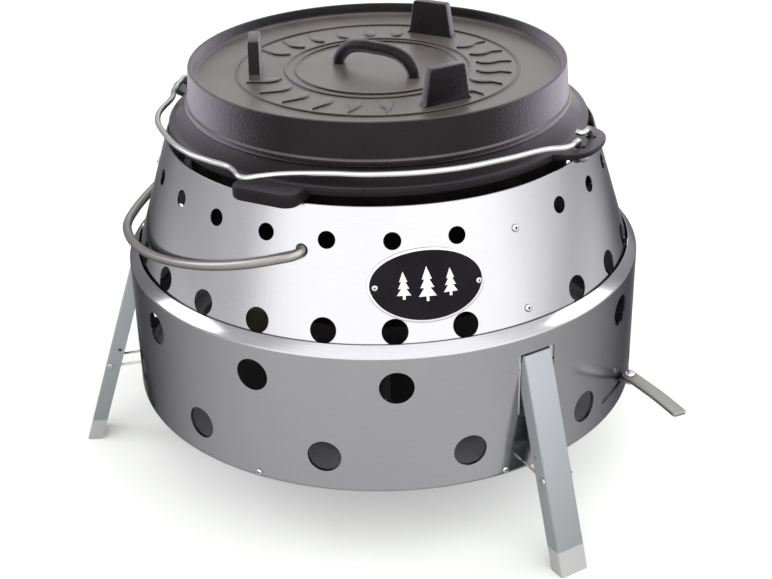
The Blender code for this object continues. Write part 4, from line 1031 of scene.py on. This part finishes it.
def build_lid():
    """Lid with raised rim, three legs, a loop handle and a cast relief"""
    plate = LID_PLATE
    top = LID_HEIGHT
    rim = LID_RIM_R
    rim_in = rim - 0.0042
    skirt = LID_SKIRT_R
    profile = [(0.0, plate)]
    profile += arc(rim_in - 0.0035, plate + 0.0035, 0.0035, -90, 0, 6)
    profile += [
        (rim_in + 0.0004, top - 0.0012), (rim_in + 0.0009, top - 0.0003), (rim_in + 0.0016, top),
        (rim - 0.0016, top), (rim - 0.0005, top - 0.0004), (rim, top - 0.0014),
        (skirt - 0.0022, 0.0062), (skirt - 0.0018, 0.0052), (skirt - 0.0004, 0.0042),
        (skirt, 0.003), (skirt, 0.0012), (skirt - 0.0004, 0.0003), (skirt - 0.0012, 0.0),
        (skirt - 0.0075, 0.0), (rim_in - 0.003, plate - 0.005), (0.0, plate - 0.005),
    ]
    bm = lathe(profile, sizes().pot_steps, closed=False)
    extras = relief()
    peak = plate + LID_LEG_RISE
    b = 0.019
    t = 0.0155
    half = [(b + 0.003, plate - 0.0015), (b + 0.0022, plate + 0.0006), (b + 0.0006, plate + 0.002),
            (b, plate + 0.004), (t, peak - 0.0020), (t - 0.0006, peak - 0.0006), (t - 0.002, peak)]
    outline = mirrored(half)[-1:] + half + mirrored(half)[:-1]
    for az in LID_LEG_AZ:
        leg = moved(prism(outline, -0.0045, 0.0045, 0.0012, 3), UPRIGHT)
        extras.append(moved(leg, seat_matrix(az, LID_LEG_R, 0.0)))
    h = LOOP_RISE
    e = LOOP_HALF
    lay = [(-e, 0, -0.004), (-e, 0, 0.003), (-e * 0.93, 0, h * 0.45), (-e * 0.74, 0, h * 0.78),
           (-e * 0.42, 0, h * 0.97), (0, 0, h)]
    place = Matrix.Translation((LOOP_MIDDLE[0] - POT_X, LOOP_MIDDLE[1], plate))
    extras.append(moved(wire(lay + mirrored(lay[:-1]), LOOP_WIRE_R, 8, 8),
                        place @ turned(LOOP_AZ - 90.0)))
    for extra in extras:
        bm = combine(bm, extra, "UNION")
    piece("lid_casting", bm, "lid", "lid_body", ["lid"],
          Matrix.Translation((POT_X, 0, LID_Z)))


def seen_rays(n):
    """One for rays from the camera or through glass, and the glossy rays apart"""
    path = n.add("ShaderNodeLightPath").outputs
    plain = n.math("MAXIMUM", path["Is Camera Ray"], path["Is Transmission Ray"])
    return plain, path["Is Glossy Ray"]


def azimuth_of(n, where):
    """Azimuth of a position or direction, from minus 0.5 to 0.5 of a turn, and its Z"""
    x, y, z = n.split(where)
    return n.math("DIVIDE", n.math("ARCTAN2", x, n.times(y, -1.0)), math.tau), z


def build_floor():
    """White floor that keeps the shadow and turns grey in reflections of its sides"""
    bm = bmesh.new()
    bmesh.ops.create_circle(bm, cap_ends=True, segments=96, radius=FLOOR_R)
    bmesh.ops.translate(bm, verts=bm.verts, vec=(0, 0, -0.0002))
    mat, n, shader = shader_of("studio_floor_paint")
    plain, glossy = seen_rays(n)
    where = n.coords()["Object"]
    turn = azimuth_of(n, where)[0]
    away = n.add("ShaderNodeVectorMath", {0: where}, operation="LENGTH").outputs["Value"]
    side = n.ramp(n.math("ABSOLUTE", turn), 0.05, 0.36, 0.2, 1.0)
    side = n.times(side, n.ramp(away, 0.7, 1.3, 1.0, 0.0))
    side = n.math("MAXIMUM", side, n.ramp(turn, -0.35, -0.2, 0.45, 0.0))
    paint = colours().floor
    dark = [FLOOR_SIDE_SHADE * v for v in paint]
    n.fill(shader, {
        "Base Color": n.mix(n.times(glossy, side), (*paint, 1.0), (*dark, 1.0)),
        "Roughness": 0.9, "Specular IOR Level": 0.0, "Emission Color": WHITE,
        "Emission Strength": n.times(plain, FLOOR_GLOW)})
    mesh = mesh_of(bm, "studio_floor")
    mesh.materials.append(mat)
    linked("studio_floor", mesh)


def build_world():
    """White to the camera. As light: a broad soft box in front, dimmer to both sides"""
    world = bpy.data.worlds.new("studio")
    bpy.context.scene.world = world
    world.use_nodes = True
    n = Nodes(world.node_tree)
    turn, high = azimuth_of(n, n.coords()["Generated"])
    ring = n.add("ShaderNodeValToRGB", {0: n.plus(turn, 0.5)})
    bar = ring.color_ramp
    bar.interpolation = "CARDINAL"
    while len(bar.elements) < len(ROUND_LIGHT):
        bar.elements.new(0.5)
    for element, (az, level) in zip(bar.elements, ROUND_LIGHT):
        element.position = az / 360.0 + 0.5
    for element, (az, level) in zip(bar.elements, ROUND_LIGHT):
        v = level / RAMP_SCALE
        element.color = (v, v, v, 1.0)
    top = n.ramp(high, SOFT_BOX_TOP - 0.12, SOFT_BOX_TOP + 0.12)
    light = n.blend(top, n.times(ring.outputs["Color"], RAMP_SCALE), OVERHEAD)
    n.fill(world.node_tree.nodes["Background"],
           {"Color": WHITE, "Strength": n.blend(seen_rays(n)[0], light, 1.0)})


def soft_lamp(name, side, power, colour):
    """Square lamp beside the object, aimed at its middle"""
    data = bpy.data.lights.new(name, "AREA")
    data.shape = "RECTANGLE"
    data.size = LAMP_SIZE
    data.size_y = LAMP_SIZE
    data.energy = power
    data.color = colour
    obj = linked(name, data)
    obj.location = (side, 0.2, 1.1)
    obj.rotation_mode = "QUATERNION"
    obj.rotation_quaternion = (LAMP_AIM - Vector((side, 0.2, 1.1))).to_track_quat("-Z", "Y")


def build_stage():
    """White floor, soft light and the camera at the photo's angle"""
    build_floor()
    build_world()
    soft_lamp("left_soft", -LAMP_SIDE, LEFT_POWER, (0.95, 0.93, 1.0))
    soft_lamp("right_soft", LAMP_SIDE, RIGHT_POWER, (0.95, 0.95, 1.0))
    el = math.radians(CAMERA_HEIGHT)
    roll = math.radians(CAMERA_ROLL)
    back = Vector((0, -math.cos(el), math.sin(el)))
    right = Vector((1, 0, 0))
    up = back.cross(right)
    x_axis = math.cos(roll) * right + math.sin(roll) * up
    y_axis = -math.sin(roll) * right + math.cos(roll) * up
    data = bpy.data.cameras.new("photo_camera")
    data.sensor_fit = "HORIZONTAL"
    data.sensor_width = SENSOR
    data.lens = FOCAL_PIXELS / PHOTO_PIXELS * SENSOR
    data.clip_start = 0.05
    data.clip_end = 50.0
    cam = linked("photo_camera", data)
    place = Matrix((x_axis, y_axis, back)).transposed().to_4x4()
    place.translation = AXIS + CAMERA_AIM + back * CAMERA_AWAY
    cam.matrix_world = place
    bpy.context.scene.camera = cam
    bpy.context.scene.view_settings.view_transform = "Standard"


class GrillSizes(bpy.types.PropertyGroup):
    drum_radius: FloatProperty(name="Drum radius", description="Outer radius of the drum",
                               default=0.2113, min=0.05, unit="LENGTH")
    sheet: FloatProperty(name="Sheet", description="Thickness of the steel sheet",
                         default=0.0012, min=0.0004, unit="LENGTH")
    drum_hole: FloatProperty(name="Drum hole", description="Diameter of the drum's round holes",
                             default=0.026, min=0.002, unit="LENGTH")
    cone_slope: FloatProperty(name="Cone slope", description="How far the cone leans in per metre",
                              default=0.308, min=0.0, max=1.0)
    handle_wire: FloatProperty(name="Handle wire", description="Diameter of the carry handle",
                               default=0.0075, min=0.001, unit="LENGTH")
    bail_wire: FloatProperty(name="Bail wire", description="Diameter of the bail",
                             default=0.0045, min=0.001, unit="LENGTH")
    leg_width: FloatProperty(name="Leg width", description="Width of each folding leg",
                             default=0.025, min=0.005, unit="LENGTH")
    steps: IntProperty(name="Drum steps", description="Facets round the drum and the cone",
                       default=288, min=48, max=512)
    pot_steps: IntProperty(name="Oven steps", description="Facets round the camp oven",
                           default=216, min=48, max=512)


class GrillColours(bpy.types.PropertyGroup):
    steel: FloatVectorProperty(name="Steel", description="Colour of the drum and cone",
                               subtype="COLOR", default=(0.40, 0.395, 0.415), min=0, max=1)
    leg: FloatVectorProperty(name="Legs", description="Colour of the folding legs",
                             subtype="COLOR", default=(0.285, 0.297, 0.312), min=0, max=1)
    wire: FloatVectorProperty(name="Wire", description="Colour of the bail and fixings",
                              subtype="COLOR", default=(0.52, 0.52, 0.51), min=0, max=1)
    handle: FloatVectorProperty(name="Handle", description="Colour of the handle and lever",
                                subtype="COLOR", default=(0.31, 0.30, 0.28), min=0, max=1)
    iron: FloatVectorProperty(name="Iron", description="Colour of the rough casting",
                              subtype="COLOR", default=(0.0075, 0.006, 0.0065), min=0, max=1)
    # Painted sheen: the pale colour mixed into the casting at its turned-away sides
    sheen_paint: FloatVectorProperty(name="Bloom", description="Colour of the casting seen askance",
                               subtype="COLOR", default=(0.21, 0.19, 0.23), min=0, max=1)
    # The plate's colour is lighter than the skirt's, painted light on its up-facing faces
    lid_top: FloatVectorProperty(name="Lid top", description="Colour of the lid's plate",
                                 subtype="COLOR", default=(0.060, 0.052, 0.047), min=0, max=1)
    badge: FloatVectorProperty(name="Badge", description="Colour of the badge's field",
                               subtype="COLOR", default=(0.008, 0.007, 0.009), min=0, max=1)
    floor: FloatVectorProperty(name="Floor", description="Colour of the floor and backdrop",
                               subtype="COLOR", default=(0.64, 0.65, 0.63), min=0, max=1)


class GRILL_OT_finishes(bpy.types.Operator):
    """Make all materials"""

    bl_idname = "grill.finishes"
    bl_label = "Finishes"

    def execute(self, context):
        make_materials()
        return {"FINISHED"}


class GRILL_OT_stage(bpy.types.Operator):
    """Set up the floor, the light and the camera"""

    bl_idname = "grill.stage"
    bl_label = "Stage"

    def execute(self, context):
        build_stage()
        return {"FINISHED"}


class GRILL_OT_drum(bpy.types.Operator):
    """Build the drum with its holes, leg windows and slot"""

    bl_idname = "grill.drum"
    bl_label = "Drum"

    def execute(self, context):
        build_drum()
        return {"FINISHED"}


class GRILL_OT_cone(bpy.types.Operator):
    """Build the sliding cone with its two rows of holes"""

    bl_idname = "grill.cone"
    bl_label = "Cone"

    def execute(self, context):
        build_cone()
        return {"FINISHED"}


class GRILL_OT_inner(bpy.types.Operator):
    """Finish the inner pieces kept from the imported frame"""

    bl_idname = "grill.inner"
    bl_label = "Inner pieces"

    def execute(self, context):
        build_inner_nodes()
        return {"FINISHED"}


class GRILL_OT_rivets(bpy.types.Operator):
    """Build the rivets and the base screws"""

    bl_idname = "grill.rivets"
    bl_label = "Rivets and screws"

    def execute(self, context):
        build_rivets()
        return {"FINISHED"}


class GRILL_OT_badge(bpy.types.Operator):
    """Build the oval badge"""

    bl_idname = "grill.badge"
    bl_label = "Badge"

    def execute(self, context):
        build_badge()
        return {"FINISHED"}


class GRILL_OT_carry_handle(bpy.types.Operator):
    """Build the wire carry handle"""

    bl_idname = "grill.carry_handle"
    bl_label = "Carry handle"

    def execute(self, context):
        build_handle()
        return {"FINISHED"}


class GRILL_OT_legs(bpy.types.Operator):
    """Build the legs, their stays and hook pins"""

    bl_idname = "grill.legs"
    bl_label = "Legs"

    def execute(self, context):
        build_legs()
        return {"FINISHED"}


class GRILL_OT_lever(bpy.types.Operator):
    """Build the air lever and its bolt"""

    bl_idname = "grill.lever"
    bl_label = "Air lever"

    def execute(self, context):
        build_lever()
        return {"FINISHED"}


class GRILL_OT_pot(bpy.types.Operator):
    """Build the body of the camp oven"""

    bl_idname = "grill.pot"
    bl_label = "Pot"

    def execute(self, context):
        build_pot()
        return {"FINISHED"}


class GRILL_OT_bail(bpy.types.Operator):
    """Build the wire bail"""

    bl_idname = "grill.bail"
    bl_label = "Bail"

    def execute(self, context):
        build_bail()
        return {"FINISHED"}


class GRILL_OT_lid(bpy.types.Operator):
    """Build the lid of the camp oven"""

    bl_idname = "grill.lid"
    bl_label = "Lid"

    def execute(self, context):
        build_lid()
        return {"FINISHED"}


OPERATORS = (
    GRILL_OT_finishes, GRILL_OT_stage, GRILL_OT_drum, GRILL_OT_cone, GRILL_OT_inner,
    GRILL_OT_rivets, GRILL_OT_badge, GRILL_OT_carry_handle, GRILL_OT_legs, GRILL_OT_lever,
    GRILL_OT_pot, GRILL_OT_bail, GRILL_OT_lid,
)


class GRILL_PT_panel(bpy.types.Panel):
    """Lists the building steps and their sizes and colours"""

    bl_label = "Camp grill"
    bl_idname = "GRILL_PT_panel"
    bl_space_type = "VIEW_3D"
    bl_region_type = "UI"
    bl_category = "Grill"

    def draw(self, context):
        layout = self.layout
        for group_of in (context.scene.grill_sizes, context.scene.grill_colours):
            for key in group_of.bl_rna.properties.keys():
                if key not in ("rna_type", "name"):
                    layout.prop(group_of, key)
        for cls in OPERATORS:
            layout.operator(cls.bl_idname)


CLASSES = (GrillSizes, GrillColours, *OPERATORS, GRILL_PT_panel)


def register():
    for cls in CLASSES:
        bpy.utils.register_class(cls)
    bpy.types.Scene.grill_sizes = PointerProperty(type=GrillSizes)
    bpy.types.Scene.grill_colours = PointerProperty(type=GrillColours)


def unregister():
    del bpy.types.Scene.grill_colours
    del bpy.types.Scene.grill_sizes
    for cls in reversed(CLASSES):
        bpy.utils.unregister_class(cls)


def main():
    register()
    bpy.ops.grill.finishes()
    bpy.ops.grill.stage()
    bpy.ops.grill.drum()
    bpy.ops.grill.cone()
    bpy.ops.grill.inner()
    bpy.ops.grill.rivets()
    bpy.ops.grill.badge()
    bpy.ops.grill.carry_handle()
    bpy.ops.grill.legs()
    bpy.ops.grill.lever()
    bpy.ops.grill.pot()
    bpy.ops.grill.bail()
    bpy.ops.grill.lid()


if __name__ == "__main__":
    main()
